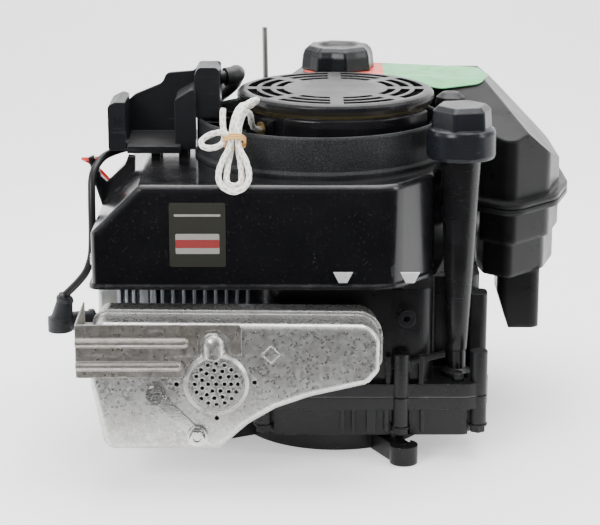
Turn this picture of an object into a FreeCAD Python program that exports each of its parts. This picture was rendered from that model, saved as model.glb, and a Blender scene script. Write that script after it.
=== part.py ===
"""Small single-cylinder gasoline engine with a vertical crankshaft, in millimetres.

The origin is on the crankshaft axis at the mounting face. +Z is up, -X points to the cylinder head
and -Y to the muffler side. The crankshaft's output end hangs below the mounting face.
"""

import FreeCAD, Part
import math
import os

V = FreeCAD.Vector
UP = V(0, 0, 1)
LEFT = V(-1, 0, 0)
FRONT = V(0, -1, 0)

# ---- crank train -------------------------------------------------------------------------------
THROW = 29.0
BORE_R = 43.65
CYLINDER_Z = 104.0
ROD_LENGTH = 100.0
CURVED_GAP = 0.3
RUNNING_GAP = 0.05
PISTON_R = BORE_R - CURVED_GAP
WRIST_X = -THROW - ROD_LENGTH
CROWN_X = WRIST_X - 28.0
SKIRT_X = CROWN_X + 48.0
JOURNAL_R = 17.46
OUTPUT_R = 12.7
OUTPUT_LENGTH = 80.0
CRANKPIN_R = 15.0
WEB_R = 46.0
WEB_Z = ((82.0, 92.0), (116.0, 126.0))
PLUG_R = 4.0

# ---- gears and valve train -----------------------------------------------------------------------
GEAR_MODULE = 2.1
CRANK_TEETH = 20
CAM_TEETH = 40
GOVERNOR_TEETH = 16
GEAR_Z = (60.0, 72.0)
CAM_ANGLE = 80.0
CAM_DISTANCE = GEAR_MODULE * (CRANK_TEETH + CAM_TEETH) / 2
CAM_X = CAM_DISTANCE * math.cos(math.radians(CAM_ANGLE))
CAM_Y = CAM_DISTANCE * math.sin(math.radians(CAM_ANGLE))
CAM_PITCH_ANGLE = 360.0 / CAM_TEETH
CAM_PHASE = CAM_ANGLE + 180.0 + CAM_PITCH_ANGLE / 2
GOVERNOR_ANGLE = CAM_PHASE + 8 * CAM_PITCH_ANGLE
GOVERNOR_DISTANCE = GEAR_MODULE * (CAM_TEETH + GOVERNOR_TEETH) / 2
GOVERNOR_X = CAM_X + GOVERNOR_DISTANCE * math.cos(math.radians(GOVERNOR_ANGLE))
GOVERNOR_Y = CAM_Y + GOVERNOR_DISTANCE * math.sin(math.radians(GOVERNOR_ANGLE))
VALVE_Z = {"exhaust": CYLINDER_Z - 19.0, "intake": CYLINDER_Z + 19.0}
VALVE_HEAD_R = {"exhaust": 12.5, "intake": 13.5}
PUSHROD_Y = CAM_Y
ROCKER_Y = PUSHROD_Y / 2
CAMSHAFT_R = 7.0
LOBE_BASE_R = 9.0
LOBE_NOSE_R = 4.0
LOBE_REACH = 14.0

# ---- block, sump and head ------------------------------------------------------------------------
SUMP_TOP = 56.0
LIP_TOP = 68.0
CASE_TOP = 150.0
WALL_OUTLINE = ((-66, -101), (125, -101), (125, 113), (-66, 113))
CASE_OUTLINE = ((-66, -101), (82, -101), (82, -60), (125, -60), (125, 113), (-66, 113))
CASE_RADII = (20, 14, 6, 14, 20, 20)
LIP_OUTLINE = ((-73, -108), (131, -108), (131, 120), (-73, 120))
SUMP_BOLTS = ((55, -104.5), (121.6, -97.6), (-62.6, -97.6), (128.5, 10), (121.6, 109.6), (-62.6, 109.6),
              (25, 116.5))
SUMP_BOLT_R = 4.0
FOOT_PCD_R = 127.0
FOOT_ANGLES = (-63, 27, 117, 207)
FOOT_HOLE_R = 4.3
DECK_X = -160.0
HEAD_X = -190.0
COVER_X = -210.0

# ---- cooling shroud and starter --------------------------------------------------------------------
SHROUD_BOTTOM = 160.0
SHROUD_TOP = 247.0
SHROUD_OUTLINE = ((-203, -135), (44, -135), (81, -90), (96, -20), (96, 70), (60, 105), (-203, 105))
SHROUD_RADII = (7, 34, 30, 30, 20, 20, 7)
SHEET = 2.0
SIDE_SCREWS_Y = (-90, 70)
SIDE_SCREW_Z = 174.0
FLYWHEEL_R = 90.0
COLLAR_X = -14.0
COLLAR_R = 107.0
COLLAR_TOP = 281.0
STARTER_R = 86.0
STARTER_TOP = 304.0
DRUM_R = 78.0
ROPE_ANGLE = 218.0
ROPE_Z = 277.0

# ---- muffler ------------------------------------------------------------------------------------
MUFFLER_FRONT = -176.0
MUFFLER_BACK = -112.0
MUFFLER_OUTLINE = ((-191, 34), (-97, 34), (-74, 55), (-51, 69), (-23, 79), (25, 90), (34, 101), (34, 141),
                   (-198, 143), (-202, 90))
MUFFLER_RADII = (10, 10, 16, 24, 24, 10, 8, 18, 10, 40)
MUFFLER_BOLTS = ((-148.5, 81.5), (-115, 47))
OUTLET_X = -99.0
OUTLET_Z = 92.0
OUTLET_R = 23.0

# ---- fuel tank, oil filler and air duct ---------------------------------------------------------
TANK_OUTLINE = ((152, -34), (190, 6), (205, 55), (205, 150), (160, 190), (-45, 190), (-45, 113),
                (48, 113), (104, 72), (122, 30), (128, -12))
TANK_RADII = (10, 24, 24, 24, 24, 14, 10, 14, 20, 20, 12)
TANK_SEAM = 203.0
TANK_TOP = 296.0
TANK_WALL = 3.0
FILLER = (4.7, 146.0)
FILLER_R = 35.4
CAP_BASE = TANK_TOP + 1.5
OUTLET_TANK = (-20.0, 160.0)
OIL_X = 104.0
OIL_Y = -80.0

# ---- fuel and air supply, control levers ---------------------------------------------------------
CARB = (-176.0, CYLINDER_Z)
THROTTLE_Y = 106.0
LEVER_Z = 152.0
LEVER_ARM = 20.0
GOVERNOR_LEVER_X = -46.0
CONTROL_PIVOT = (-62.0, 109.0, 215.0)
FILTER_BOX = ((-172, 112, 168), (-98, 166, 222))
ELBOW_ROUTE = ((-176, 136.2, 104), (-176, 160, 104), (-172, 166, 134), (-160, 152, 152), (-150, 140, 171))
ELBOW_BORE = 11.0
FUEL_ROUTE = ((-20, 160, 160), (-20, 160, 138), (-34, 158, 118), (-64, 150, 100), (-104, 136, 88),
              (-130, 122, 82), (-151.9, 122, 82))
HOSE_R = 8.0
HOSE_ROUTE = ((-96.5, 6, 312.5), (-88.5, 10, 313), (-87, 24, 312.6), (-89.5, 39, 306.5), (-92, 53, 299.5),
              (-99, 65, 291.5), (-111, 75, 281), (-117, 80, 266), (-117, 80, 247.3))
STOP_WIRE_ROUTE = ((-189, -4, 254.2), (-193, -6, 247.5), (-202, -9, 244), (-213, -11, 243), (-221, -8, 242),
                   (-222.5, 1, 240.5), (-217.5, 9, 236), (-208, 13, 227), (-197.2, 15, 213.8))
STOP_WIRE_R = 1.6
HANK_TILT = -45.0

# ---- rope and lead routes ---------------------------------------------------------------------
ROPE_R = 2.6
ROPE_ROUTE = ((-61.5, -48.0, 277.0), (-69.4, -54.2, 277.0), (-73.0, -60.5, 284.0), (-74.5, -68.0, 294.0),
              (-77.5, -78.5, 300.5), (-80.5, -90.0, 299.0), (-82.0, -101.0, 290.0), (-82.0, -109.5, 281.5))
LEAD_R = 3.3
LEAD_ROUTE = ((-176, 4, 251.5), (-190, -14, 251.5), (-202, -33, 249.5), (-209.5, -50, 238),
              (-209, -60, 214), (-208.5, -65, 190), (-209.4, -66, 170), (-214.5, -64.5, 155),
              (-223.5, -62.5, 144), (-233.5, -60.5, 134))
PLUG_SEAT = V(-166.0, -25.0, 104.0)
PLUG_DIRECTION = V(-0.905, -0.42, 0.06).normalize()


# ================================================================================ helpers
def box(low, high):
    return Part.makeBox(high[0] - low[0], high[1] - low[1], high[2] - low[2], V(*low))


def cyl_z(x, y, z0, z1, r):
    return Part.makeCylinder(r, z1 - z0, V(x, y, z0), UP)


def cyl_x(x0, x1, y, z, r):
    return Part.makeCylinder(r, x1 - x0, V(x0, y, z), V(1, 0, 0))


def cyl_y(y0, y1, x, z, r):
    return Part.makeCylinder(r, y1 - y0, V(x, y0, z), V(0, 1, 0))


def rod(start, end, r0, r1=None):
    """A round rod, or a cone when r1 is given, between two points."""
    start = V(*start)
    axis = V(*end) - start
    if r1 is None:
        return Part.makeCylinder(r0, axis.Length, start, axis)
    return Part.makeCone(r0, r1, axis.Length, start, axis)


def fuse(*shapes):
    return shapes[0].multiFuse(list(shapes[1:])).removeSplitter()


def rounded_face(points, radii):
    """A face inside straight sides whose corners are tangent arcs."""
    count = len(points)
    if not isinstance(radii, (tuple, list)):
        radii = [radii] * count
    corners = []
    for index in range(count):
        corner = points[index]
        before = (points[index - 1] - corner).normalize()
        after = (points[(index + 1) % count] - corner).normalize()
        half = before.getAngle(after) / 2
        radius = radii[index]
        if radius <= 0:
            corners.append((corner, None, corner))
            continue
        reach = radius / math.tan(half)
        centre = corner + (before + after).normalize() * (radius / math.sin(half))
        middle = centre + (corner - centre).normalize() * radius
        corners.append((corner + before * reach, middle, corner + after * reach))
    edges = []
    for index, (start, middle, end) in enumerate(corners):
        if middle is not None:
            edges.append(Part.Arc(start, middle, end).toShape())
        following = corners[(index + 1) % count][0]
        if (following - end).Length > 1e-6:
            edges.append(Part.LineSegment(end, following).toShape())
    return Part.Face(Part.Wire(edges))


def prism_z(points, radii, z0, z1, inset=0.0):
    """An upright prism over a plan outline, drawn in by inset."""
    face = rounded_face([V(x, y, z0) for x, y in points], radii)
    if inset:
        face = face.makeOffset2D(-inset)
    return face.extrude(V(0, 0, z1 - z0))


def prism_y(points, radii, y0, y1, inset=0.0):
    face = rounded_face([V(x, y0, z) for x, z in points], radii)
    if inset:
        face = face.makeOffset2D(-inset)
    return face.extrude(V(0, y1 - y0, 0))


def prism_x(points, radii, x0, x1, inset=0.0):
    face = rounded_face([V(x0, y, z) for y, z in points], radii)
    if inset:
        face = face.makeOffset2D(-inset)
    return face.extrude(V(x1 - x0, 0, 0))


def rectangle(low, high):
    return ((low[0], low[1]), (high[0], low[1]), (high[0], high[1]), (low[0], high[1]))


def turned(profile, x=0.0, y=0.0):
    """A solid of revolution about a vertical axis from (radius, height) points."""
    points = [V(x + r, y, z) for r, z in profile]
    face = Part.Face(Part.makePolygon(points + [points[0]]))
    return face.revolve(V(x, y, 0), UP, 360)


def sector(r0, r1, a0, a1, z0, z1, x=0.0, y=0.0):
    """A block between two radii and two angles in degrees."""
    def at(radius, angle):
        turn = math.radians(angle)
        return V(x + radius * math.cos(turn), y + radius * math.sin(turn), z0)
    middle = (a0 + a1) / 2
    edges = [
        Part.Arc(at(r0, a0), at(r0, middle), at(r0, a1)).toShape(),
        Part.LineSegment(at(r0, a1), at(r1, a1)).toShape(),
        Part.Arc(at(r1, a1), at(r1, middle), at(r1, a0)).toShape(),
        Part.LineSegment(at(r1, a0), at(r0, a0)).toShape(),
    ]
    return Part.Face(Part.Wire(edges)).extrude(V(0, 0, z1 - z0))


def regular_prism(base, direction, sides, radius, height):
    direction = V(direction).normalize()
    helper = V(1, 0, 0) if abs(direction.z) > 0.9 else UP
    across = direction.cross(helper).normalize()
    along = direction.cross(across)
    points = []
    for index in range(sides):
        turn = 2 * math.pi * index / sides
        points.append(base + across * (radius * math.cos(turn)) + along * (radius * math.sin(turn)))
    return Part.Face(Part.makePolygon(points + [points[0]])).extrude(direction * height)


def bolt(seat, direction, shank_r, shank_length, head_height=None):
    """A flanged hexagon bolt whose washer face sits at seat and whose head points along direction."""
    seat = V(*seat)
    direction = V(direction).normalize()
    head_height = head_height or shank_r * 1.5
    washer = Part.makeCylinder(shank_r * 2.1, shank_r * 0.35, seat, direction)
    head = regular_prism(seat + direction * shank_r * 0.3, direction, 6, shank_r * 1.75, head_height)
    shank = Part.makeCylinder(shank_r, shank_length, seat, direction * -1)
    return fuse(washer, head, shank)


def holes_z(shape, places, r, z0, z1):
    return shape.cut([cyl_z(x, y, z0, z1, r) for x, y in places])


def smooth(shape, test, radius):
    """Round the edges that pass the test."""
    return shape.makeFillet(radius, [edge for edge in shape.Edges if test(edge)])


def edge_at_z(z):
    return lambda edge: abs(edge.BoundBox.ZMin - z) < 0.01 and abs(edge.BoundBox.ZMax - z) < 0.01


def edge_at_y(y):
    return lambda edge: abs(edge.BoundBox.YMin - y) < 0.01 and abs(edge.BoundBox.YMax - y) < 0.01


def cord(route, radius, name):
    """A round tube along straight runs joined by the largest tangent arcs that the runs allow."""
    points = [V(*point) for point in route]
    edges = []
    radii = []
    at = points[0]
    for before, corner, after in zip(points, points[1:], points[2:]):
        back = before - corner
        ahead = after - corner
        shorter = min(back.Length, ahead.Length)
        half_turn = (math.pi - back.getAngle(ahead)) / 2
        bend = 0.45 * shorter / math.tan(half_turn)
        radii.append(bend)
        back.normalize()
        ahead.normalize()
        reach = 0.45 * shorter
        start = corner + back * reach
        end = corner + ahead * reach
        centre = corner + (back + ahead).normalize() * (bend / math.cos(half_turn))
        middle = centre + (corner - centre).normalize() * bend
        edges.append(Part.LineSegment(at, start).toShape())
        edges.append(Part.Arc(start, middle, end).toShape())
        at = end
    edges.append(Part.LineSegment(at, points[-1]).toShape())
    path = Part.Wire(edges)
    section = Part.Wire([Part.makeCircle(radius, points[0], points[1] - points[0])])
    tube = path.makePipeShell([section], True, False)
    length = path.Length
    print(name, "length", round(length, 1), "radii", [round(r, 1) for r in radii],
          "volume ratio", round(tube.Volume / (math.pi * radius * radius * length), 3))
    return tube


def pipe(route, outer, inner, name):
    """A hollow hose along a cord route."""
    return cord(route, outer, name).cut(cord(route, inner, name + " bore"))


def gear(x, y, z0, z1, teeth, phase, bore):
    """A spur gear with slim straight-flanked teeth, one of them centred on the phase angle."""
    pitch_r = GEAR_MODULE * teeth / 2
    root = pitch_r - 1.15 * GEAR_MODULE
    tip = pitch_r + 0.8 * GEAR_MODULE
    root_half = 1.9 / root
    tip_half = 0.55 / tip
    points = []
    for index in range(teeth):
        centre = math.radians(phase) + 2 * math.pi * index / teeth
        for radius, turn in ((root, -root_half), (tip, -tip_half), (tip, tip_half), (root, root_half)):
            points.append(V(x + radius * math.cos(centre + turn), y + radius * math.sin(centre + turn), z0))
    blank = Part.Face(Part.makePolygon(points + [points[0]])).extrude(V(0, 0, z1 - z0))
    return blank.cut(cyl_z(x, y, z0 - 1, z1 + 1, bore))


# ================================================================================ sump and block
def foot_places():
    return [(FOOT_PCD_R * math.cos(math.radians(a)), FOOT_PCD_R * math.sin(math.radians(a)))
            for a in FOOT_ANGLES]


def sump():
    boss_r = 85.0
    outer = [cyl_z(0, 0, 0, 21, boss_r), prism_z(WALL_OUTLINE, 20, 20, SUMP_TOP),
             prism_z(LIP_OUTLINE, 24, 45, SUMP_TOP)]
    for angle, (x, y) in zip(FOOT_ANGLES, foot_places()):
        arm = box((boss_r - 12, -9, 0), (FOOT_PCD_R, 9, 16))
        gusset = box((boss_r - 6, -3, 0), (FOOT_PCD_R - 16, 3, 21))
        arm.rotate(V(0, 0, 0), UP, angle)
        gusset.rotate(V(0, 0, 0), UP, angle)
        outer += [arm, gusset, cyl_z(x, y, 0, 16, 12)]
    for x, y in SUMP_BOLTS:
        outer.append(cyl_z(x, y, 30, SUMP_TOP, 7.5))
    outer += [box((x, -107.4, 24), (x + wide, -98, 50)) for x, wide in ((4, 3), (13, 3), (26, 8), (41, 4), (72, 3))]
    shape = fuse(*outer)
    bearing = cyl_z(0, 0, 0, 50, 26)
    cam_boss = cyl_z(CAM_X, CAM_Y, 0, 40, 13)
    hollow = fuse(cyl_z(0, 0, 8, 27, boss_r - 7), prism_z(WALL_OUTLINE, 20, 26, SUMP_TOP, inset=6))
    hollow = hollow.cut(fuse(bearing, cam_boss, cyl_z(GOVERNOR_X, GOVERNOR_Y, 0, 40, 9)))
    shape = shape.cut(hollow)
    shape = fuse(shape, cyl_z(GOVERNOR_X, GOVERNOR_Y, 30, 70, 4))
    shape = shape.cut([cyl_z(0, 0, -1, 51, JOURNAL_R + RUNNING_GAP),
                       cyl_z(CAM_X, CAM_Y, 20, 41, CAMSHAFT_R + RUNNING_GAP)])
    shape = holes_z(shape, SUMP_BOLTS, 8.8, 14, 30)
    shape = holes_z(shape, foot_places(), FOOT_HOLE_R, -1, 17)
    return holes_z(shape, SUMP_BOLTS, SUMP_BOLT_R + 0.25, 29, 57)


def gaskets():
    """The flat gaskets under the crankcase and under the cylinder head."""
    flat = prism_z(LIP_OUTLINE, 24, SUMP_TOP, SUMP_TOP + 0.8).cut(
        prism_z(WALL_OUTLINE, 20, 50, 60, inset=6))
    flat = holes_z(flat, SUMP_BOLTS, SUMP_BOLT_R + 0.25, 50, 60)
    upright = prism_x(rectangle((-66, 58), (72, 158)), 12, DECK_X - 2, DECK_X)
    cuts = [cyl_x(DECK_X - 3, DECK_X + 1, 0, CYLINDER_Z, BORE_R)]
    cuts += [cyl_x(DECK_X - 3, DECK_X + 1, PUSHROD_Y, z, 8) for z in VALVE_Z.values()]
    cuts += [cyl_x(DECK_X - 3, DECK_X + 1, y, z, SUMP_BOLT_R + 0.25) for y, z in HEAD_BOLTS]
    return Part.makeCompound([flat, upright.cut(cuts)])


def tappet_bosses():
    return [cyl_x(-62, -34, PUSHROD_Y, z, 12) for z in VALVE_Z.values()]


def crankcase():
    floor = SUMP_TOP + 0.8
    outer = [prism_z(CASE_OUTLINE, CASE_RADII, floor, CASE_TOP), prism_z(LIP_OUTLINE, 24, floor, LIP_TOP)]
    for x, y in SUMP_BOLTS:
        outer.append(cyl_z(x, y, floor, floor + 38, 7.5))
    outer.append(prism_z(rectangle((112, -68), (131, -48)), 6, floor, 136))
    outer.append(cyl_y(-109, -100, 59, 126, 7.5))
    outer.append(prism_y(((52, 82), (92, 92), (92, 96), (52, 86)), 0, -107, -100))
    outer.append(cyl_z(0, 0, CASE_TOP - 14, 158, 30))
    outer.append(prism_y(((-50, 104), (40, 104), (40, 108), (-50, 108)), 0, -106, -100))
    outer += [box((x, -107.4, floor), (x + 4, -98, 92)) for x in (6, 17, 42, 70)]
    outer.append(cyl_y(-108.5, -100, 59, 84, 6))
    shape = fuse(*outer)
    hollow = prism_z(CASE_OUTLINE, CASE_RADII, floor - 1, CASE_TOP - 8, inset=5)
    keep = [cyl_z(0, 0, CASE_TOP - 14, CASE_TOP, 30), cyl_z(CAM_X, CAM_Y, 130, CASE_TOP, 12)]
    shape = shape.cut(hollow.cut(fuse(*(keep + tappet_bosses()))))
    cuts = [cyl_x(-70, -55, 0, CYLINDER_Z, BORE_R), cyl_z(0, 0, 130, 160, JOURNAL_R + RUNNING_GAP),
            cyl_z(CAM_X, CAM_Y, 128, 141, CAMSHAFT_R + RUNNING_GAP), cyl_y(-110, -104, 59, 126, 3),
            cyl_z(OIL_X, OIL_Y, floor - 1, LIP_TOP + 1, 6.5), cyl_x(-75, -66, 0, CYLINDER_Z, BORE_R + 3.9),
            cyl_z(GOVERNOR_LEVER_X, THROTTLE_Y, 140, CASE_TOP + 1, 3 + RUNNING_GAP)]
    cuts += [cyl_x(-74, -30, PUSHROD_Y, z, 8 + RUNNING_GAP) for z in VALVE_Z.values()]
    shape = shape.cut(cuts)
    return holes_z(shape, SUMP_BOLTS, SUMP_BOLT_R + 0.25, floor - 1, floor + 30)


def flange_bolts():
    """The identical bolts of the sump flange and of the cylinder head."""
    bolts = [bolt((x, y, 29.9), V(0, 0, -1), SUMP_BOLT_R, 50) for x, y in SUMP_BOLTS]
    bolts += [bolt((HEAD_X - 0.1, y, z), LEFT, SUMP_BOLT_R, 50) for y, z in HEAD_BOLTS]
    return Part.makeCompound(bolts)


HEAD_BOLTS = ((-56, 66), (-56, 150), (48, 62), (48, 148))


def cylinder_barrel():
    parts = [cyl_x(DECK_X, -66, 0, CYLINDER_Z, BORE_R + 3.85),
             box((DECK_X, 54, 74), (-66, 71, 134))]
    for index in range(10):
        x = DECK_X + 0.4 + index * 9.2
        thick = 5.0 if index == 0 else 2.6
        parts.append(prism_x(rectangle((-66, 59), (58, 158)), 12, x - 0.4, x - 0.4 + thick))
    for y, z in HEAD_BOLTS:
        parts.append(cyl_x(DECK_X, DECK_X + 32, y, z, 7))
    shape = fuse(*parts)
    cuts = [cyl_x(DECK_X - 1, -65, 0, CYLINDER_Z, BORE_R), box((-75, -66, 50), (-60, 66, 57.2))]
    cuts += [cyl_x(DECK_X - 1, -65, PUSHROD_Y, z, 8.05) for z in VALVE_Z.values()]
    cuts += [cyl_x(DECK_X - 1, DECK_X + 28, y, z, SUMP_BOLT_R + 0.25) for y, z in HEAD_BOLTS]
    return shape.cut(cuts)


def cylinder_head():
    face = DECK_X - 2
    parts = [prism_x(rectangle((-66, 58), (72, 158)), 12, face - 7, face),
             prism_x(rectangle((-48, 72), (72, 138)), 8, HEAD_X, face),
             cyl_y(-66, -40, -176, VALVE_Z["exhaust"], 13),
             cyl_y(60, 82, -176, CYLINDER_Z, 13.5)]
    for index in range(3):
        x = face - 13.5 - index * 6.2
        parts.append(prism_x(rectangle((-66, 58), (72, 158)), 12, x, x + 2.4))
    for y, z in HEAD_BOLTS:
        parts.append(cyl_x(HEAD_X, face, y, z, 8))
    shape = fuse(*parts)
    rocker_box = box((HEAD_X - 1, -16, 75), (-181, 70, 134))
    cuts = [cyl_x(face - 5, face + 1, 0, CYLINDER_Z, 38), rocker_box,
            cyl_y(-70, 0, -176, VALVE_Z["exhaust"], 9), cyl_y(0, 90, -176, CYLINDER_Z, 10)]
    cuts += [Part.makeCone(VALVE_HEAD_R[name] + 0.4, 4.3, 4.6, V(-166.4, 0, z), LEFT)
             for name, z in VALVE_Z.items()]
    cuts += [cyl_x(HEAD_X, face - 4, 0, z, 3.5 + RUNNING_GAP) for z in VALVE_Z.values()]
    cuts += [cyl_x(HEAD_X, face + 1, PUSHROD_Y, z, 5) for z in VALVE_Z.values()]
    cuts += [cyl_x(HEAD_X - 1, face + 1, y, z, SUMP_BOLT_R + 0.25) for y, z in HEAD_BOLTS]
    cuts.append(rod(PLUG_SEAT + PLUG_DIRECTION * -3, PLUG_SEAT + PLUG_DIRECTION * 40, 7.1))
    cuts.append(rod(PLUG_SEAT + PLUG_DIRECTION * 22, PLUG_SEAT + PLUG_DIRECTION * 50, 13))
    shape = shape.cut(cuts)
    posts = [fuse(cyl_x(-197.3, -180, ROCKER_Y, z, 4), cyl_z(-198, ROCKER_Y, z - 6, z + 6, 3))
             for z in VALVE_Z.values()]
    return fuse(shape, *posts)


def rocker_cover():
    outline = rectangle((-22, 73), (76, 136))
    shape = prism_x(outline, 14, COVER_X, HEAD_X - 1)
    flange = prism_x(rectangle((-25, 71), (79, 139)), 16, HEAD_X - 3, HEAD_X)
    shape = smooth(shape, lambda edge: abs(edge.BoundBox.XMax - COVER_X) < 0.01, 5)
    inner = prism_x(outline, 14, COVER_X + 2, HEAD_X + 1, inset=2)
    shape = fuse(shape, flange).cut(inner)
    return shape.cut([rod(PLUG_SEAT, PLUG_SEAT + PLUG_DIRECTION * 60, 13.5)])


def valve_springs():
    springs = []
    for z in VALVE_Z.values():
        helix = Part.makeHelix(2.8, 8.4, 8.2)
        section = Part.Wire([Part.makeCircle(0.9, V(8.2, 0, 0), V(0, 1, 0))])
        coil = Part.Wire(helix.Edges).makePipeShell([section], True, True)
        coil.rotate(V(0, 0, 0), V(0, 1, 0), -90)
        coil.translate(V(-182.05, 0, z))
        springs.append(coil)
    return Part.makeCompound(springs)


# ================================================================================ crank train
def crankshaft():
    lower, upper = WEB_Z
    parts = [cyl_z(0, 0, -OUTPUT_LENGTH, 0, OUTPUT_R), cyl_z(0, 0, 0, lower[0] + 1, JOURNAL_R),
             cyl_z(-THROW, 0, lower[0], upper[1], CRANKPIN_R), cyl_z(0, 0, upper[0], 158, JOURNAL_R),
             cyl_z(0, 0, 158, 232, 12.6), cyl_z(0, 0, 232, 250, 9)]
    for z0, z1 in WEB_Z:
        disc = cyl_z(0, 0, z0, z1, WEB_R).common(box((-8, -WEB_R, z0), (WEB_R, WEB_R, z1)))
        parts += [disc, cyl_z(-THROW, 0, z0, z1, 17), box((-THROW, -17, z0), (0, 17, z1))]
    shape = fuse(*parts)
    keyway = box((OUTPUT_R - 3, -2.4, -OUTPUT_LENGTH - 1), (OUTPUT_R + 1, 2.4, -22))
    end_hole = cyl_z(0, 0, -OUTPUT_LENGTH - 1, -OUTPUT_LENGTH + 24, 4.2)
    plug_hole = cyl_z(-THROW / 2, 0, upper[0] + 1, upper[1] + 1, PLUG_R + RUNNING_GAP)
    teeth = gear(0, 0, GEAR_Z[0], GEAR_Z[1], CRANK_TEETH, CAM_ANGLE, 5)
    return fuse(shape.cut([keyway, end_hole, plug_hole]), teeth)


def gallery_plug():
    return cyl_z(-THROW / 2, 0, WEB_Z[1][0] + 1.2, WEB_Z[1][1], PLUG_R)


def rod_big_end():
    ring = cyl_z(-THROW, 0, 93, 115, 19)
    lugs = prism_z(rectangle((-THROW - 7, -22), (-THROW + 11, 22)), 3, 93, 115)
    shape = fuse(ring, lugs).cut(cyl_z(-THROW, 0, 92, 116, CRANKPIN_R + RUNNING_GAP))
    heads = [regular_prism(V(-THROW + 10.8, y, CYLINDER_Z), V(1, 0, 0), 6, 4.2, 4) for y in (-17.5, 17.5)]
    return fuse(shape, *heads)


def connecting_rod():
    """The rod's shank and small end, which stop short of the big end."""
    end_x = -THROW - 19 - CURVED_GAP
    shank = box((WRIST_X, -8, 97), (end_x, 8, 111))
    recess = [box((WRIST_X + 16, -4.5, z0), (end_x - 8, 4.5, z1)) for z0, z1 in ((96, 100), (108, 112))]
    small_end = cyl_z(WRIST_X, 0, 93, 115, 13)
    return fuse(shank.cut(recess), small_end).cut(cyl_z(WRIST_X, 0, 90, 118, 8.03))


def piston():
    shape = cyl_x(CROWN_X, SKIRT_X, 0, CYLINDER_Z, PISTON_R)
    bosses = fuse(cyl_z(WRIST_X, 0, 60, 90, 13), cyl_z(WRIST_X, 0, 118, 148, 13))
    shape = shape.cut(cyl_x(CROWN_X + 8, SKIRT_X + 1, 0, CYLINDER_Z, PISTON_R - 5).cut(bosses))
    grooves = []
    for offset in (6, 11, 16):
        blank = cyl_x(CROWN_X + offset, CROWN_X + offset + 2, 0, CYLINDER_Z, PISTON_R + 1)
        grooves.append(blank.cut(cyl_x(CROWN_X, SKIRT_X, 0, CYLINDER_Z, PISTON_R - 3)))
    wrist_hole = cyl_z(WRIST_X, 0, 50, 158, 8.03)
    relief = fuse(box((SKIRT_X - 22, -60, 50), (SKIRT_X + 1, 60, 74)),
                  box((SKIRT_X - 22, -60, 134), (SKIRT_X + 1, 60, 158)))
    return shape.cut(grooves + [wrist_hole, relief])


def piston_rings():
    rings = []
    for offset in (6, 11, 16):
        x = CROWN_X + offset + 0.1
        ring = cyl_x(x, x + 1.8, 0, CYLINDER_Z, PISTON_R)
        rings.append(ring.cut(cyl_x(x - 1, x + 3, 0, CYLINDER_Z, PISTON_R - 2.9)))
    return Part.makeCompound(rings)


def wrist_pin():
    return cyl_z(WRIST_X, 0, CYLINDER_Z - 38, CYLINDER_Z + 38, 8).cut(
        cyl_z(WRIST_X, 0, 60, 150, 5))


def lobe(z0, z1, angle):
    nose = LOBE_REACH - LOBE_NOSE_R
    tilt = math.asin((LOBE_BASE_R - LOBE_NOSE_R) / nose)
    points = []
    for centre, radius, side in ((0, LOBE_BASE_R, -1), (nose, LOBE_NOSE_R, -1),
                                 (nose, LOBE_NOSE_R, 1), (0, LOBE_BASE_R, 1)):
        points.append(V(centre + radius * math.sin(tilt), side * radius * math.cos(tilt), z0))
    flank = Part.Face(Part.makePolygon(points + [points[0]])).extrude(V(0, 0, z1 - z0))
    shape = fuse(cyl_z(0, 0, z0, z1, LOBE_BASE_R), cyl_z(nose, 0, z0, z1, LOBE_NOSE_R), flank)
    shape.rotate(V(0, 0, 0), UP, angle)
    shape.translate(V(CAM_X, CAM_Y, 0))
    return shape


def camshaft():
    shaft = cyl_z(CAM_X, CAM_Y, 21, 140, CAMSHAFT_R)
    wheel = gear(CAM_X, CAM_Y, GEAR_Z[0], GEAR_Z[1], CAM_TEETH, CAM_PHASE, 1)
    lobes = [lobe(VALVE_Z["exhaust"] - 4, VALVE_Z["exhaust"] + 4, 55),
             lobe(VALVE_Z["intake"] - 4, VALVE_Z["intake"] + 4, -55)]
    return fuse(shaft, wheel, *lobes)


def governor_gear():
    wheel = gear(GOVERNOR_X, GOVERNOR_Y, GEAR_Z[0], GEAR_Z[1] - 2, GOVERNOR_TEETH,
                 GOVERNOR_ANGLE + 180 + 180 / GOVERNOR_TEETH, 4 + RUNNING_GAP)
    cup = cyl_z(GOVERNOR_X, GOVERNOR_Y, 46, GEAR_Z[0], 12).cut(
        cyl_z(GOVERNOR_X, GOVERNOR_Y, 40, 62, 4 + RUNNING_GAP))
    return fuse(wheel, cup)


def pushrod(name):
    """One cam follower and its pushrod; the follower's foot stays clear of the lobe's whole circle."""
    z = VALVE_Z[name]
    foot = CAM_X - LOBE_REACH - CURVED_GAP
    return fuse(cyl_x(-52, foot, PUSHROD_Y, z, 8), cyl_x(-193.6, -50, PUSHROD_Y, z, 3))


def valve(name):
    z = VALVE_Z[name]
    head_r = VALVE_HEAD_R[name]
    head = Part.makeCone(head_r, 4, 4, V(-166.6, 0, z), LEFT)
    disc = cyl_x(-166.6, -164.8, 0, z, head_r)
    stem = fuse(cyl_x(-195.4, -166, 0, z, 3.5), cyl_x(-196.9, -195, 0, z, 1.6))
    retainer = cyl_x(-194, -191.5, 0, z, 9.5)
    return fuse(disc, head, stem, retainer)


def rocker(name):
    z = VALVE_Z[name]
    beam = prism_z(rectangle((-202.2, -6), (-197.4, PUSHROD_Y + 5)), 2, z - 5, z + 5)
    hub = cyl_z(-198, ROCKER_Y, z - 5, z + 5, 6)
    cup = cyl_x(-199, -194.3, PUSHROD_Y, z, 4.5)
    clear = fuse(cyl_z(-198, ROCKER_Y, z - 8, z + 8, 3 + RUNNING_GAP),
                 box((-198, ROCKER_Y - 8.2, z - 4.4), (-180, ROCKER_Y + 8.2, z + 4.4)))
    return fuse(beam, hub, cup).cut(clear)


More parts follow.
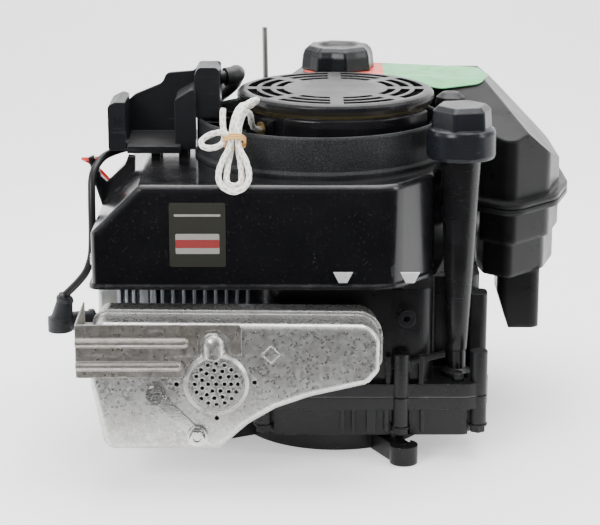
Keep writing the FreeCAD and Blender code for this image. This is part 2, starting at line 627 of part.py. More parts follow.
# ================================================================================ flywheel and starter
def flywheel():
    rim = cyl_z(0, 0, 168, 200, FLYWHEEL_R).cut(cyl_z(0, 0, 160, 192, FLYWHEEL_R - 13))
    hub = cyl_z(0, 0, 164, 226, 22)
    fins = []
    for index in range(18):
        blade = box((52, -1.6, 199), (FLYWHEEL_R - 2, 1.6, 238))
        blade.rotate(V(52, 0, 0), UP, 28)
        blade.rotate(V(0, 0, 0), UP, index * 20)
        fins.append(blade)
    inside = cyl_z(0, 0, 160, 245, FLYWHEEL_R)
    return fuse(rim, hub, *fins).common(inside).cut(cyl_z(0, 0, 160, 240, 12.62))


def starter_cup():
    cup = cyl_z(0, 0, 226.2, 258, 44).cut(cyl_z(0, 0, 229, 259, 41.5))
    slots = [sector(40, 46, a, a + 14, 240, 252) for a in range(0, 360, 45)]
    return cup.cut(slots + [cyl_z(0, 0, 225, 230, 12.62)])


def flywheel_nut():
    return regular_prism(V(0, 0, 232.1), UP, 6, 17, 11).cut(cyl_z(0, 0, 230, 250, 9.02))


def starter_pulley():
    sheave = turned(((8 + RUNNING_GAP, 266), (60, 266), (60, 268.5), (47, 270), (47, 280), (60, 281.5),
                     (60, 284), (8 + RUNNING_GAP, 284)))
    pawls = [prism_z(rectangle((20, -5), (36, 5)), 2, 260, 266.2) for _ in range(2)]
    pawls[1].rotate(V(0, 0, 0), UP, 180)
    return fuse(sheave, *pawls)


def starter_spring():
    inner, turns, pitch, thick, steps = 16.0, 4, 6.0, 0.9, 20
    edge_in = []
    edge_out = []
    for index in range(turns * steps + 1):
        turn = 2 * math.pi * index / steps
        radius = inner + pitch * index / steps
        spot = (math.cos(turn), math.sin(turn))
        edge_in.append(V(radius * spot[0], radius * spot[1], 286))
        edge_out.append(V((radius + thick) * spot[0], (radius + thick) * spot[1], 286))
    loop = edge_in + edge_out[::-1]
    return Part.Face(Part.makePolygon(loop + [loop[0]])).extrude(V(0, 0, 10))


def eyelet_frame():
    turn = math.radians(ROPE_ANGLE)
    out = V(math.cos(turn), math.sin(turn), 0)
    return V(out.x * DRUM_R, out.y * DRUM_R, ROPE_Z), out


def starter_cover():
    profile = ((0, STARTER_TOP), (81, STARTER_TOP), (84, STARTER_TOP - 1), (85.6, STARTER_TOP - 3),
               (STARTER_R, STARTER_TOP - 6), (85.2, STARTER_TOP - 9.5), (82, STARTER_TOP - 12),
               (DRUM_R + 0.6, STARTER_TOP - 15), (DRUM_R, 262), (DRUM_R - 3, 262),
               (DRUM_R - 3, STARTER_TOP - 14), (80, STARTER_TOP - 6), (78, STARTER_TOP - 3),
               (0, STARTER_TOP - 3))
    shape = turned(profile)
    legs = [sector(DRUM_R - 5, DRUM_R, a - 6, a + 6, SHROUD_TOP + 0.05, 264) for a in range(45, 360, 90)]
    window = sector(DRUM_R - 2, STARTER_R - 1.6, 238, 338, 266, STARTER_TOP - 13)
    window = smooth(window, edge_at_z(STARTER_TOP - 13), 2.5)
    left_pad = sector(DRUM_R - 2, DRUM_R + 2.6, 203, 228, 264, 286)
    shape = fuse(shape, cyl_z(0, 0, 262, STARTER_TOP - 2, 8), window, left_pad, *legs)
    slots = []
    for spoke in range(8):
        for r0, r1 in ((45.5, 52.5), (57, 65), (69, 77)):
            gap = math.degrees(5.5 / ((r0 + r1) / 2))
            start = 22.5 + spoke * 45 + 22.5
            slots.append(sector(r0, r1, start + gap, start + 45 - gap, STARTER_TOP - 4, STARTER_TOP + 1))
    centre, out = eyelet_frame()
    slots.append(Part.makeCylinder(4.6, 14, centre - out * 8, out))
    return shape.cut(slots)


def rope_eyelet():
    centre, out = eyelet_frame()
    outer = fuse(Part.makeCylinder(4.5, 6.5, centre - out * 3, out),
                 Part.makeCylinder(6.5, 1.4, centre + out * 2.7, out))
    return outer.cut(Part.makeCylinder(ROPE_R + 0.3, 12, centre - out * 4, out))


# ================================================================================ shroud and collar
def shroud_solid(inset, top, bottom):
    shape = prism_z(SHROUD_OUTLINE, SHROUD_RADII, bottom, top, inset=inset)
    cut_low = SHROUD_TOP - 40 - inset * 1.41
    wedge = prism_y(((-230, cut_low - 27), (-203, cut_low), (-120, cut_low + 83), (-230, cut_low + 83)), 0,
                    -160, 120)
    return shape.cut(wedge)


def blower_housing():
    outer = shroud_solid(0, SHROUD_TOP, SHROUD_BOTTOM)
    top_ring = lambda edge: edge.BoundBox.ZMin > SHROUD_BOTTOM + 1 and edge.BoundBox.ZMax - edge.BoundBox.ZMin < 45
    outer = smooth(outer, top_ring, 5)
    inner = shroud_solid(SHEET, SHROUD_TOP - SHEET, SHROUD_BOTTOM - 1)
    lip = prism_z(SHROUD_OUTLINE, SHROUD_RADII, SHROUD_BOTTOM, SHROUD_BOTTOM + 3, inset=-2.5)
    lip = lip.cut(prism_z(SHROUD_OUTLINE, SHROUD_RADII, SHROUD_BOTTOM - 1, SHROUD_BOTTOM + 4, inset=1))
    shape = fuse(outer.cut(inner), lip, lever_stud(), lead_clip())
    cuts = [cyl_z(0, 0, SHROUD_TOP - 5, SHROUD_TOP + 1, 71)]
    cuts += [cyl_x(-204, -198, y, SIDE_SCREW_Z, 3.3) for y in SIDE_SCREWS_Y]
    return shape.cut(cuts)


def lead_clip():
    """The two-pronged clip on the sloping end that the spark lead passes through."""
    outline = ((-202.5, 206.6), (-173.5, 235.6), (-173, 250), (-179, 251), (-182, 243), (-198, 228),
               (-203, 233), (-209, 251), (-213.5, 249), (-209, 228))
    return prism_y(outline, 0, -35, -29)


def intake_collar():
    ring = turned(((97, SHROUD_TOP), (109, SHROUD_TOP), (109, 249.5), (COLLAR_R, 252), (COLLAR_R, 279),
                   (106, COLLAR_TOP), (104.6, COLLAR_TOP), (103.6, 279), (103.6, 251), (97, 251)), COLLAR_X, 0)
    vanes = []
    for index in range(24):
        turn = index * 15 + 7.5
        inner = 87 if math.cos(math.radians(turn)) < -0.1 else 98
        vane = box((inner, -1.1, 250), (104.5, 1.1, 271))
        vane.rotate(V(0, 0, 0), UP, turn)
        vane.translate(V(COLLAR_X, 0, 0))
        vanes.append(vane)
    return fuse(ring, *vanes)


# ================================================================================ muffler
def turned_y(profile, x, z, y):
    """A profile of (radius, y) pairs turned about a line along Y through x, z."""
    points = [V(x + radius, y + along, z) for radius, along in profile]
    face = Part.Face(Part.makePolygon(points + [points[0]]))
    return face.revolve(V(x, y, z), V(0, 1, 0), 360)


def muffler_body():
    outer = prism_y(MUFFLER_OUTLINE, MUFFLER_RADII, MUFFLER_FRONT, MUFFLER_BACK)
    outer = smooth(outer, lambda edge: edge_at_y(MUFFLER_FRONT)(edge) or edge_at_y(MUFFLER_BACK)(edge), 6)
    inner = prism_y(MUFFLER_OUTLINE, MUFFLER_RADII, MUFFLER_FRONT + 1.8, MUFFLER_BACK - 1.8, inset=1.8)
    inner = smooth(inner, lambda edge: edge_at_y(MUFFLER_FRONT + 1.8)(edge)
                   or edge_at_y(MUFFLER_BACK - 1.8)(edge), 4)
    seam = prism_y(MUFFLER_OUTLINE, MUFFLER_RADII, -147, -144, inset=-3)
    seam = seam.cut(prism_y(MUFFLER_OUTLINE, MUFFLER_RADII, -150, -140, inset=1))
    inlet_z = VALVE_Z["exhaust"]
    inlet = cyl_y(MUFFLER_BACK - 2, -69, -176, inlet_z, 13)
    flange = prism_y(((-200, inlet_z - 14), (-152, inlet_z - 14), (-152, inlet_z + 14),
                      (-200, inlet_z + 14)), 8, -74, -69)
    arch = fuse(Part.makeSphere(10, V(-101, MUFFLER_FRONT + 3.5, 125)),
                rod((-101, MUFFLER_FRONT + 3.5, 112), (-101, MUFFLER_FRONT + 3.5, 125), 10))
    dome = arch.common(box((-120, MUFFLER_FRONT - 12, 113), (-80, MUFFLER_FRONT + 0.5, 140)))
    rim = turned_y(((0, 0.5), (OUTLET_R + 4, 0.5), (OUTLET_R + 2, -1.4), (OUTLET_R + 0.6, -3), (0, -3)),
                   OUTLET_X, OUTLET_Z, MUFFLER_FRONT)
    emboss = prism_y(((-62, 116.5), (-54.5, 109), (-47, 116.5), (-54.5, 124)), 1.5,
                     MUFFLER_FRONT - 1.2, MUFFLER_FRONT + 1)
    shape = fuse(outer.cut(inner), seam, inlet, flange, rim, emboss)
    shape = fuse(shape, dome)
    cuts = [cyl_y(MUFFLER_BACK - 4, -60, -176, inlet_z, 10.5),
            cyl_y(MUFFLER_FRONT - 5, MUFFLER_FRONT + 4, OUTLET_X, OUTLET_Z, OUTLET_R - 4),
            cyl_y(MUFFLER_FRONT - 5, MUFFLER_FRONT - 1.2, OUTLET_X, OUTLET_Z, OUTLET_R)]
    cuts += [cyl_y(MUFFLER_FRONT - 1, MUFFLER_FRONT + 3, x, z, 2.0)
             for x, z in ((-131.5, 91), (-68, 92.5), (-99, 62))]
    cuts += [cyl_y(MUFFLER_FRONT - 1, MUFFLER_FRONT + 6, x, z, 3.3) for x, z in MUFFLER_BOLTS[:2]]
    return shape.cut(cuts)


def outlet_screen():
    disc = cyl_y(MUFFLER_FRONT - 2.6, MUFFLER_FRONT - 1.3, OUTLET_X, OUTLET_Z, OUTLET_R - 0.3)
    holes = []
    for count, radius in ((16, 17.5), (11, 12), (6, 6.6), (1, 0)):
        for index in range(count):
            turn = 2 * math.pi * index / count
            holes.append(cyl_y(MUFFLER_FRONT - 4, MUFFLER_FRONT, OUTLET_X + radius * math.cos(turn),
                               OUTLET_Z + radius * math.sin(turn), 1.75))
    return disc.cut(holes)


def heat_shield():
    front = MUFFLER_FRONT - 0.4
    outline = ((-213, 97), (-78, 97), (-78, 142), (-213, 142))
    sheet = prism_y(outline, (3, 0, 4, 3), front - 1.4, front)
    sheet = sheet.cut([cyl_y(front - 5, front + 5, OUTLET_X, OUTLET_Z, OUTLET_R + 5),
                       box((OUTLET_X, front - 5, 90), (-70, front + 5, 116)),
                       cyl_y(front - 5, front + 5, -101, 125, 12.5),
                       box((-113.5, front - 5, 105), (-88.5, front + 5, 125))])
    side = box((-213, front - 1, 97), (-211.6, -112, 142))
    ribs = [fuse(cyl_x(-209, x1, front - 0.6, z, 4.2), Part.makeSphere(4.2, V(x1, front - 0.6, z)),
                 cyl_x(-212.9, -209, front - 0.6, z, 4.2)) for z, x1 in ((126.8, -125), (107.2, -131))]
    keep = box((-220, front - 9, 90), (-70, front - 0.6, 150))
    tabs = [box((-212.5, -128, 112), (-200, -118, 126))]
    shape = fuse(sheet, side, *[rib.common(keep) for rib in ribs])
    return fuse(shape, *tabs).cut(
        prism_y(MUFFLER_OUTLINE, MUFFLER_RADII, MUFFLER_FRONT, MUFFLER_BACK, inset=-0.1))


def muffler_bolts():
    """Two bolts through one lock strap on the muffler's face."""
    face = MUFFLER_FRONT - 0.1
    (x0, z0), (x1, z1) = MUFFLER_BOLTS
    length = math.hypot(x1 - x0, z1 - z0)
    strap = prism_y(rectangle((-9, -5), (length + 9, 5)), 4, -1.2, 0)
    strap.rotate(V(0, 0, 0), FRONT, math.degrees(math.atan2(z1 - z0, x1 - x0)))
    strap.translate(V(x0, face, z0))
    bolts = []
    for x, z in MUFFLER_BOLTS:
        head = regular_prism(V(x, face - 3.5, z), FRONT, 6, 6.6, 5.5)
        socket = regular_prism(V(x, face - 7, z), FRONT, 6, 3.2, 3)
        bolts += [cyl_y(face - 3.6, face - 1.1, x, z, 8.4), head.cut(socket), cyl_y(face - 1.5, face + 7, x, z, 3.2)]
    return fuse(strap, *bolts)


# ================================================================================ fuel tank
def tank_solid(inset):
    bottom = 170 + inset
    low_right = 139 + inset
    top = TANK_TOP - inset
    body = prism_z(TANK_OUTLINE, TANK_RADII, bottom, top, inset=inset)
    belly = prism_z(TANK_OUTLINE, TANK_RADII, low_right, bottom + 1, inset=inset + 4)
    belly = belly.cut(box((-60, -60, 100), (128 + inset, 250, 250)))
    lobe_block = prism_z(rectangle((146 + inset, -2 + inset), (184 - inset, 40 - inset)), 9 if not inset else 6,
                         86 + inset, low_right + 1)
    lobe_cut = prism_y(((140, 80), (158, 80), (146 + inset, 118 + inset), (140, 118)), 0, -20, 60)
    shape = fuse(body, belly, lobe_block.cut(lobe_cut))
    shift = inset * 1.3
    right_slope = prism_y(((137 - shift, top + 20), (137 - shift, 297 - inset), (199, 236 - shift), (240, 194),
                           (240, top + 20)), 0, -80, 240)
    front_slope = prism_x(((-90, top + 20), (-90, 245 - inset), (88 + inset, 297 - inset), (98, top + 20)),
                          0, 60, 260)
    back_slope = prism_x(((164 - inset, top + 20), (164 - inset, top), (200, top - 22), (240, top - 22),
                          (240, top + 20)), 0, -120, 150)
    left_slope = prism_y(((-28 + inset, top + 20), (-28 + inset, top), (-50, top - 22), (-80, top - 22),
                          (-80, top + 20)), 0, 60, 260)
    return shape.cut([right_slope, front_slope, back_slope, left_slope])


def fuel_tank():
    outer = tank_solid(0)
    flange = prism_z(TANK_OUTLINE, TANK_RADII, TANK_SEAM - 5, TANK_SEAM + 5, inset=-8)
    groove = prism_z(TANK_OUTLINE, TANK_RADII, TANK_SEAM - 0.8, TANK_SEAM + 0.8, inset=-9).cut(
        prism_z(TANK_OUTLINE, TANK_RADII, TANK_SEAM - 1, TANK_SEAM + 1, inset=-6))
    flange = flange.cut([groove, prism_z(SHROUD_OUTLINE, SHROUD_RADII, 150, 260, inset=-3)])
    shape = fuse(outer, flange, cyl_z(OUTLET_TANK[0], OUTLET_TANK[1], 160, 172, 5))
    return shape.cut([tank_solid(TANK_WALL), cyl_z(FILLER[0], FILLER[1], 276, TANK_TOP + 5, 20),
                      cyl_z(OUTLET_TANK[0], OUTLET_TANK[1], 155, 176, 2.5)])


def fuel_cap():
    x, y = FILLER
    wires = []
    for rise, scale in ((0, 1.0), (13, 0.96), (18, 0.91), (21.5, 0.80)):
        z = CAP_BASE + rise
        points = []
        for index in range(16):
            radius = (FILLER_R if index % 2 == 0 else FILLER_R - 3.4) * scale
            turn = 2 * math.pi * (index + 0.5) / 16
            points.append(V(x + radius * math.cos(turn), y + radius * math.sin(turn), z))
        wires.append(rounded_face(points, 4.0).OuterWire)
    body = Part.makeLoft(wires, True, True)
    crown = CAP_BASE + 21.5
    dish = turned(((0, crown - 2.5), (15, crown - 2.5), (21, crown + 1), (0, crown + 1)), x, y)
    plug = cyl_z(x, y, 287, CAP_BASE + 1, 18).cut(cyl_z(x, y, 286, CAP_BASE, 15))
    return fuse(body, plug).cut(dish)


def filler_tag():
    """A thin card tag under the cap whose free end droops over the tank's shoulder."""
    z = TANK_TOP + 0.3
    outline = ((-30, 122), (38, 108), (74, 74), (96, 62), (134, 74), (143, 104), (136, 150), (40, 176),
               (-14, 168))
    plan = prism_z(outline, (10, 10, 16, 14, 16, 16, 16, 20, 14), 250, 320)
    bend = ((200, z), (200, z + 0.8), (85, z + 0.8), (40, z - 8.6), (40, z - 9.4), (85, z))
    sheet = prism_x(bend, 0, -60, 160)
    return sheet.common(plan).cut(cyl_z(FILLER[0], FILLER[1], 280, 320, 22))


def tank_post():
    """The domed rubber buffer on its tongue beside the tank."""
    x, y = 103.0, 34.0
    post = turned(((0, 262), (9, 262), (9, 276), (13, 280), (14, 285), (12.5, 290), (7.5, 294), (0, 295)), x, y)
    foot = box((x - 8, y - 6, 262), (x + 13.4, y + 6, 266))
    return fuse(post, foot)


def fuel_line():
    return pipe(FUEL_ROUTE, 4.2, 2.4, "fuel_line")


# ================================================================================ oil filler
def oil_fill_tube():
    foot = LIP_TOP + 0.1
    profile = ((6.6, foot), (7.8, foot), (7.8, 91), (8.6, 92), (12.6, 165), (17, 258), (14.6, 258),
               (9.6, 165), (6.6, 98))
    tube = turned(profile, OIL_X, OIL_Y)
    collar = turned(((6.6, foot), (13, foot), (13, foot + 4), (8.5, foot + 7), (6.6, foot + 7)), OIL_X, OIL_Y)
    ear = prism_z(rectangle((OIL_X - 5, OIL_Y - 22), (OIL_X + 5, OIL_Y)), 4, foot, foot + 4).cut(
        cyl_z(OIL_X, OIL_Y, 50, 90, 7))
    screw = bolt((OIL_X, OIL_Y - 17, foot + 4), UP, 2.4, 3, 3)
    return fuse(tube, collar, ear, screw)


def dipstick():
    skirt = turned(((0, 286), (25, 285.5), (27.6, 284), (28.8, 281), (29.2, 263), (28.2, 260), (25.5, 260),
                    (25.5, 279), (0, 279)), OIL_X, OIL_Y)
    wires = []
    for z, radius in ((284.5, 27.0), (300.0, 25.5), (304.0, 21.0)):
        points = []
        for index in range(6):
            turn = math.radians(60 * index + 12)
            points.append(V(OIL_X + radius * math.cos(turn), OIL_Y + radius * math.sin(turn), z))
        wires.append(rounded_face(points, 4.0).OuterWire)
    head = Part.makeLoft(wires, True, True)
    shape = fuse(skirt, head)
    stopper = cyl_z(OIL_X, OIL_Y, 250, 280, 13)
    blade = box((OIL_X - 3, OIL_Y - 0.8, 64), (OIL_X + 3, OIL_Y + 0.8, 251))
    return fuse(shape, stopper, blade)


# ================================================================================ air duct and hose
def air_duct():
    """The open intake duct on the shroud: a floor, side walls of different heights and a back wall."""
    back = prism_y(((-196, 255), (-100, 255), (-100, 325), (-119, 325), (-123, 317), (-148, 315), (-152, 306),
                    (-176, 296), (-184, 289), (-196, 284)), (2, 3, 3, 4, 6, 6, 8, 8, 6, 6), 12, 16)
    floor = prism_x(((-30, 255), (16, 255), (16, 264), (-30, 259)), 0, -180, -134)
    left = prism_y(((-196, 255), (-181, 255), (-181, 297), (-186, 299), (-196, 294)), (3, 0, 2, 5, 4), -34, 13)
    left = left.cut(prism_x(((-40, 300), (-40, 292), (-34, 297), (20, 299), (20, 310)), 0, -200, -178))
    right = prism_y(((-139, 255), (-121, 255), (-121, 309), (-139, 298)), (0, 0, 3, 4), -28, 13)
    tall = prism_y(((-122, 255), (-100, 255), (-100, 325), (-119, 325), (-122, 318)), (0, 3, 5, 5, 2), -22, 13)
    feet = [box((x, y, SHROUD_TOP), (x + 8, y + 8, 256)) for x in (-160, -136) for y in (-24, 6)]
    lip = prism_x(((-33, 252.5), (-28, 252.5), (-28, 259.4), (-33, 258.5)), 0, -180, -134)
    shape = fuse(back, floor, left, right, tall, lip, *feet)
    shape = shape.cut(cyl_z(COLLAR_X, 0, 240, COLLAR_TOP + 0.6, COLLAR_R + 2.6))
    return fuse(shape, hose_spigot(6.0))


def hose_spigot(radius):
    start = V(*HOSE_ROUTE[0])
    ahead = (V(*HOSE_ROUTE[1]) - start).normalize()
    return rod(start - ahead * 6, start + ahead * 6, radius)


def breather_hose():
    hose = cord(HOSE_ROUTE, HOSE_R, "breather_hose")
    return hose.cut(hose_spigot(6.05))


def stop_wire():
    return cord(STOP_WIRE_ROUTE, STOP_WIRE_R, "stop_wire")


# ================================================================================ ignition
def plug_at(distance):
    return PLUG_SEAT + PLUG_DIRECTION * distance


def spark_plug():
    parts = [rod(plug_at(0), plug_at(26), 7), regular_prism(plug_at(25), PLUG_DIRECTION, 6, 11.5, 9),
             rod(plug_at(33), plug_at(38), 8.5, 6), rod(plug_at(37), plug_at(68), 5.2, 4.6),
             rod(plug_at(67), plug_at(76), 3)]
    parts += [rod(plug_at(d), plug_at(d + 1.6), 5.7) for d in (42, 46)]
    return fuse(*parts)


def spark_plug_boot():
    elbow = plug_at(80)
    top = V(*LEAD_ROUTE[-1])
    body = fuse(rod(plug_at(52), elbow + PLUG_DIRECTION * 4, 8.2), rod(plug_at(50.5), plug_at(53.5), 9.6),
                Part.makeSphere(10.4, elbow), rod(elbow, top, 10.0, 6.0),
                rod(elbow + V(-1, 0, -8), elbow + V(-1, 0, 4), 10.6))
    collar = rod(top + (elbow - top).normalize() * 6, top + (elbow - top).normalize() * 3, 7.6)
    leaving = (V(*LEAD_ROUTE[-2]) - top).normalize()
    cuts = [rod(plug_at(49), plug_at(69), 5.6), rod(plug_at(68), plug_at(76.5), 3.3),
            Part.makeCylinder(14, 12, top, leaving)]
    return fuse(body, collar).cut(cuts)


def spark_lead():
    return cord(LEAD_ROUTE, LEAD_R, "spark_lead")


def ignition_coil():
    core = box((-123, -30, 180), (-80, 30, 194)).cut(
        fuse(box((-113, -18, 170), (-80, 18, 200)), cyl_z(0, 0, 170, 200, FLYWHEEL_R + 0.5)))
    winding = box((-127, -15, 172), (-109, 15, 202))
    posts = [fuse(cyl_z(-117, y, 158, 181, 5), cyl_z(-117, y, 193, 197, 4.5)) for y in (-24, 24)]
    return fuse(core, winding, *posts)


# ================================================================================ fuel and air supply
def intake_manifold():
    z = CYLINDER_Z
    tube = cyl_y(82.2, 96, -176, z, 14)
    flanges = [prism_y(((-202, z - 17), (-150, z - 17), (-150, z + 17), (-202, z + 17)), 8, y, y + 3.5)
               for y in (82.2, 92.5)]
    return fuse(tube, *flanges).cut(cyl_y(70, 100, -176, z, 10.5))


def carburetor():
    x, z = CARB
    parts = [cyl_y(96.2, 136, x, z, 17), prism_y(rectangle((x - 24, z - 17), (x + 24, z + 17)), 6, 96.2, 100),
             prism_y(rectangle((x - 22, z - 17), (x + 22, z + 17)), 6, 131, 136),
             cyl_z(x, 117, z - 26, z, 13), cyl_z(x, 117, z - 46, z - 18, 19),
             turned(((0, z - 49), (14, z - 49), (19, z - 46), (19, z - 45), (0, z - 45)), x, 117),
             cyl_z(x, THROTTLE_Y, z, 148, 6),
             cyl_x(x + 10, x + 24, 122, z - 22, 3.4), regular_prism(V(x, 117, z - 53), UP, 6, 6, 5)]
    shape = fuse(*parts)
    return shape.cut([cyl_y(90, 140, x, z, 13), cyl_z(x, THROTTLE_Y, z - 16, 150, 2.5 + RUNNING_GAP)])


def air_elbow():
    return pipe(ELBOW_ROUTE, 13.5, ELBOW_BORE, "air_elbow")


def air_filter_cover():
    low, high = FILTER_BOX
    shape = prism_y(rectangle((low[0] - 1, low[2] - 1), (high[0] + 1, high[2] + 1)), 9, high[1] - 6, high[1] + 3)
    shape = smooth(shape, edge_at_y(high[1] + 3), 3)
    ribs = [box((low[0] + 12 + 12 * k, high[1] + 2, low[2] + 10), (low[0] + 15 + 12 * k, high[1] + 5, high[2] - 10))
            for k in range(5)]
    knob = cyl_y(high[1] + 2, high[1] + 12, (low[0] + high[0]) / 2, high[2] - 12, 7)
    return fuse(shape, knob, *ribs)


def air_filter_box():
    low, high = FILTER_BOX
    shape = prism_y(rectangle((low[0], low[2]), (high[0], high[2])), 8, low[1], high[1] - 6)
    inner = prism_y(rectangle((low[0], low[2]), (high[0], high[2])), 8, low[1] + 3, high[1], inset=3)
    bracket = box((-140, 105.05, 196), (-110, low[1] + 1, 212))
    start, end = V(*ELBOW_ROUTE[-2]), V(*ELBOW_ROUTE[-1])
    shape = fuse(shape, bracket, air_elbow(), air_filter_cover())
    return shape.cut([inner, rod(start, end + (end - start) * 0.3, ELBOW_BORE)])


def throttle_shaft():
    x, z = CARB
    shaft = cyl_z(x, THROTTLE_Y, z - 15, LEVER_Z + 3, 2.5)
    plate = cyl_y(THROTTLE_Y - 0.5, THROTTLE_Y + 0.5, x, z, 12.4)
    return fuse(shaft, plate, lever_arm(x))


def lever_arm(x):
    arm = prism_z(rectangle((x - 4, THROTTLE_Y - 5), (x + 4, THROTTLE_Y + LEVER_ARM + 4)), 3.5, LEVER_Z, LEVER_Z + 3)
    boss = cyl_z(x, THROTTLE_Y, LEVER_Z, LEVER_Z + 3, 6)
    return fuse(arm, boss).cut(cyl_z(x, THROTTLE_Y + LEVER_ARM, LEVER_Z - 1, LEVER_Z + 4, 1.3))


def governor_lever():
    return fuse(lever_arm(GOVERNOR_LEVER_X), cyl_z(GOVERNOR_LEVER_X, THROTTLE_Y, CASE_TOP - 5, LEVER_Z + 3, 3))


def throttle_link():
    y = THROTTLE_Y + LEVER_ARM
    z = LEVER_Z + 4.6
    bar = cyl_x(CARB[0] - 2, GOVERNOR_LEVER_X + 2, y, z, 1.2)
    hooks = [cyl_z(x, y, LEVER_Z - 1, z, 1.1) for x in (CARB[0], GOVERNOR_LEVER_X)]
    return fuse(bar, *hooks)


def control_lever():
    x, y, z = CONTROL_PIVOT
    bar = rod((x, y, z), (x - 1.5, y, 341), 2.4)
    hub = cyl_y(y - 2.6, y + 2.6, x, z, 7)
    return fuse(bar, hub).cut(cyl_y(y - 10, y + 10, x, z, 3 + RUNNING_GAP))


def lever_stud():
    """The stud and its plate on the shroud's back wall, which the control lever turns on."""
    x, y, z = CONTROL_PIVOT
    stud = fuse(cyl_y(104, y + 5, x, z, 3), cyl_y(y + 3.0, y + 5, x, z, 5.5))
    plate = prism_y(rectangle((x - 12, z - 24), (x + 12, z + 11)), 4, 104, 106.0)
    return fuse(stud, plate)


# ================================================================================ rope
def starter_rope():
    return cord(ROPE_ROUTE, ROPE_R, "starter_rope")


def rope_hank():
    """The outer shape of the folded rope: a flat bundle below its band, with one upper and one side loop."""
    bundle = Part.makeLoft([ellipse((-86, -109.8, 281.2), 9, 5.6), ellipse((-85.5, -116, 275), 8, 5.4),
                            ellipse((-85, -129, 264), 12.5, 6.2), ellipse((-85, -141, 252.5), 13.5, 6),
                            ellipse((-85, -146.5, 247), 9, 5)], True, False)
    loop = bent_rod(((-92, -115, 279), (-107, -112, 278), (-112, -115, 271), (-93, -122, 270)), 3.2)
    strand = bent_rod(((-91.5, -112, 279.5), (-94, -103, 291), (-94.5, -97, 299)), 3.4)
    return fuse(bundle, loop, strand)


def bent_rod(points, radius):
    balls = [Part.makeSphere(radius, V(*point)) for point in points[1:]]
    return fuse(*[rod(start, end, radius) for start, end in zip(points, points[1:])], *balls)


def ellipse(centre, wide, deep):
    """An elliptical section of the hank, square to the way it hangs."""
    curve = Part.Ellipse(V(0, 0, 0), wide, deep)
    wire = Part.Wire([curve.toShape()])
    wire.rotate(V(0, 0, 0), V(1, 0, 0), HANK_TILT)
    wire.translate(V(*centre))
    return wire


def small_screws():
    """The identical screws in the shroud's end wall, each with its nut."""
    pieces = []
    for y in SIDE_SCREWS_Y:
        pieces.append(bolt((-203, y, SIDE_SCREW_Z), LEFT, 3.0, 8, 4))
        nut = regular_prism(V(-200.9, y, SIDE_SCREW_Z), V(1, 0, 0), 6, 6, 5)
        pieces.append(nut.cut(cyl_x(-210, -180, y, SIDE_SCREW_Z, 3.05)))
    return Part.makeCompound(pieces)


# ================================================================================ writing the nodes
def save(name, shape):
    shape.exportStep("parts/" + name + ".step")
    solids = len(shape.Solids)
    print(name, "solids", solids, "valid", shape.isValid(), "volume", round(shape.Volume / 1000, 1))


BUILDERS = (
    sump, gaskets, crankcase, flange_bolts, cylinder_barrel, cylinder_head, rocker_cover,
    valve_springs, crankshaft, gallery_plug, rod_big_end, connecting_rod, piston, piston_rings,
    wrist_pin, camshaft, governor_gear, flywheel, starter_cup, flywheel_nut, starter_pulley, starter_spring,
    starter_cover, rope_eyelet, starter_rope, rope_hank, blower_housing, intake_collar,
    small_screws, muffler_body, outlet_screen, heat_shield, muffler_bolts, fuel_tank, fuel_cap, filler_tag,
    tank_post, fuel_line, oil_fill_tube, dipstick, air_duct, breather_hose, stop_wire, spark_plug,
    spark_plug_boot, spark_lead, ignition_coil, intake_manifold, carburetor, air_filter_box,
    throttle_shaft, governor_lever, throttle_link, control_lever,
)

os.makedirs("parts", exist_ok=True)
for build in BUILDERS:
    save(build.__name__, build())
for valve_name in VALVE_Z:
    save(valve_name + "_valve", valve(valve_name))
    save(valve_name + "_rocker", rocker(valve_name))
    save(valve_name + "_pushrod", pushrod(valve_name))
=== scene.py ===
"""Looks for the small gasoline engine: materials on the CAD nodes, the braided starter rope and trim.

Row frame, metres: the origin is on the crankshaft axis at the mounting face, +Z up, -X towards the
cylinder head, -Y towards the muffler. Sizes marked mm are turned into metres where they are used.
"""

import math

import bmesh
import bpy
from mathutils import Matrix, Vector


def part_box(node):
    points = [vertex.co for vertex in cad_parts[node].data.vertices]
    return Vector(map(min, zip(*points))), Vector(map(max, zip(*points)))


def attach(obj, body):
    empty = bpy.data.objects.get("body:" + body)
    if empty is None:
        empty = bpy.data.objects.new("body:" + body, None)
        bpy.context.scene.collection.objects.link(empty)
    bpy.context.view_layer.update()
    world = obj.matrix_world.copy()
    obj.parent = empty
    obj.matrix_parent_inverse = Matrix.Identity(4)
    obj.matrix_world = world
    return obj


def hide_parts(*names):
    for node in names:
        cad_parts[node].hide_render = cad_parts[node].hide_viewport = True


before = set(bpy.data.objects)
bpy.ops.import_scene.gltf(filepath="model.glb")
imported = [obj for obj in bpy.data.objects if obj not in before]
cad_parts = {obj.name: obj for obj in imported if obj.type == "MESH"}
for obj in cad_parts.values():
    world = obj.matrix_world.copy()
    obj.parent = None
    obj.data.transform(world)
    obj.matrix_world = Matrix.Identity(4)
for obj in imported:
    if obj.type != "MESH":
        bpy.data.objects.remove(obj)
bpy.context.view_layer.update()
MM = 0.001

# ---- camera ------------------------------------------------------------------------------------
ELEVATION = math.radians(15.2)
DISTANCE = 1.750
TARGET = Vector((-0.031, 0.0, 0.146))
LENS = 117.6


def add_camera():
    data = bpy.data.cameras.new("camera")
    data.lens = LENS
    data.sensor_width = 36.0
    camera = bpy.data.objects.new("camera", data)
    back = Vector((0, -math.cos(ELEVATION), math.sin(ELEVATION)))
    camera.location = TARGET + back * DISTANCE
    camera.rotation_mode = "QUATERNION"
    camera.rotation_quaternion = (-back).to_track_quat("-Z", "Y")
    bpy.context.collection.objects.link(camera)
    bpy.context.scene.camera = camera


add_camera()

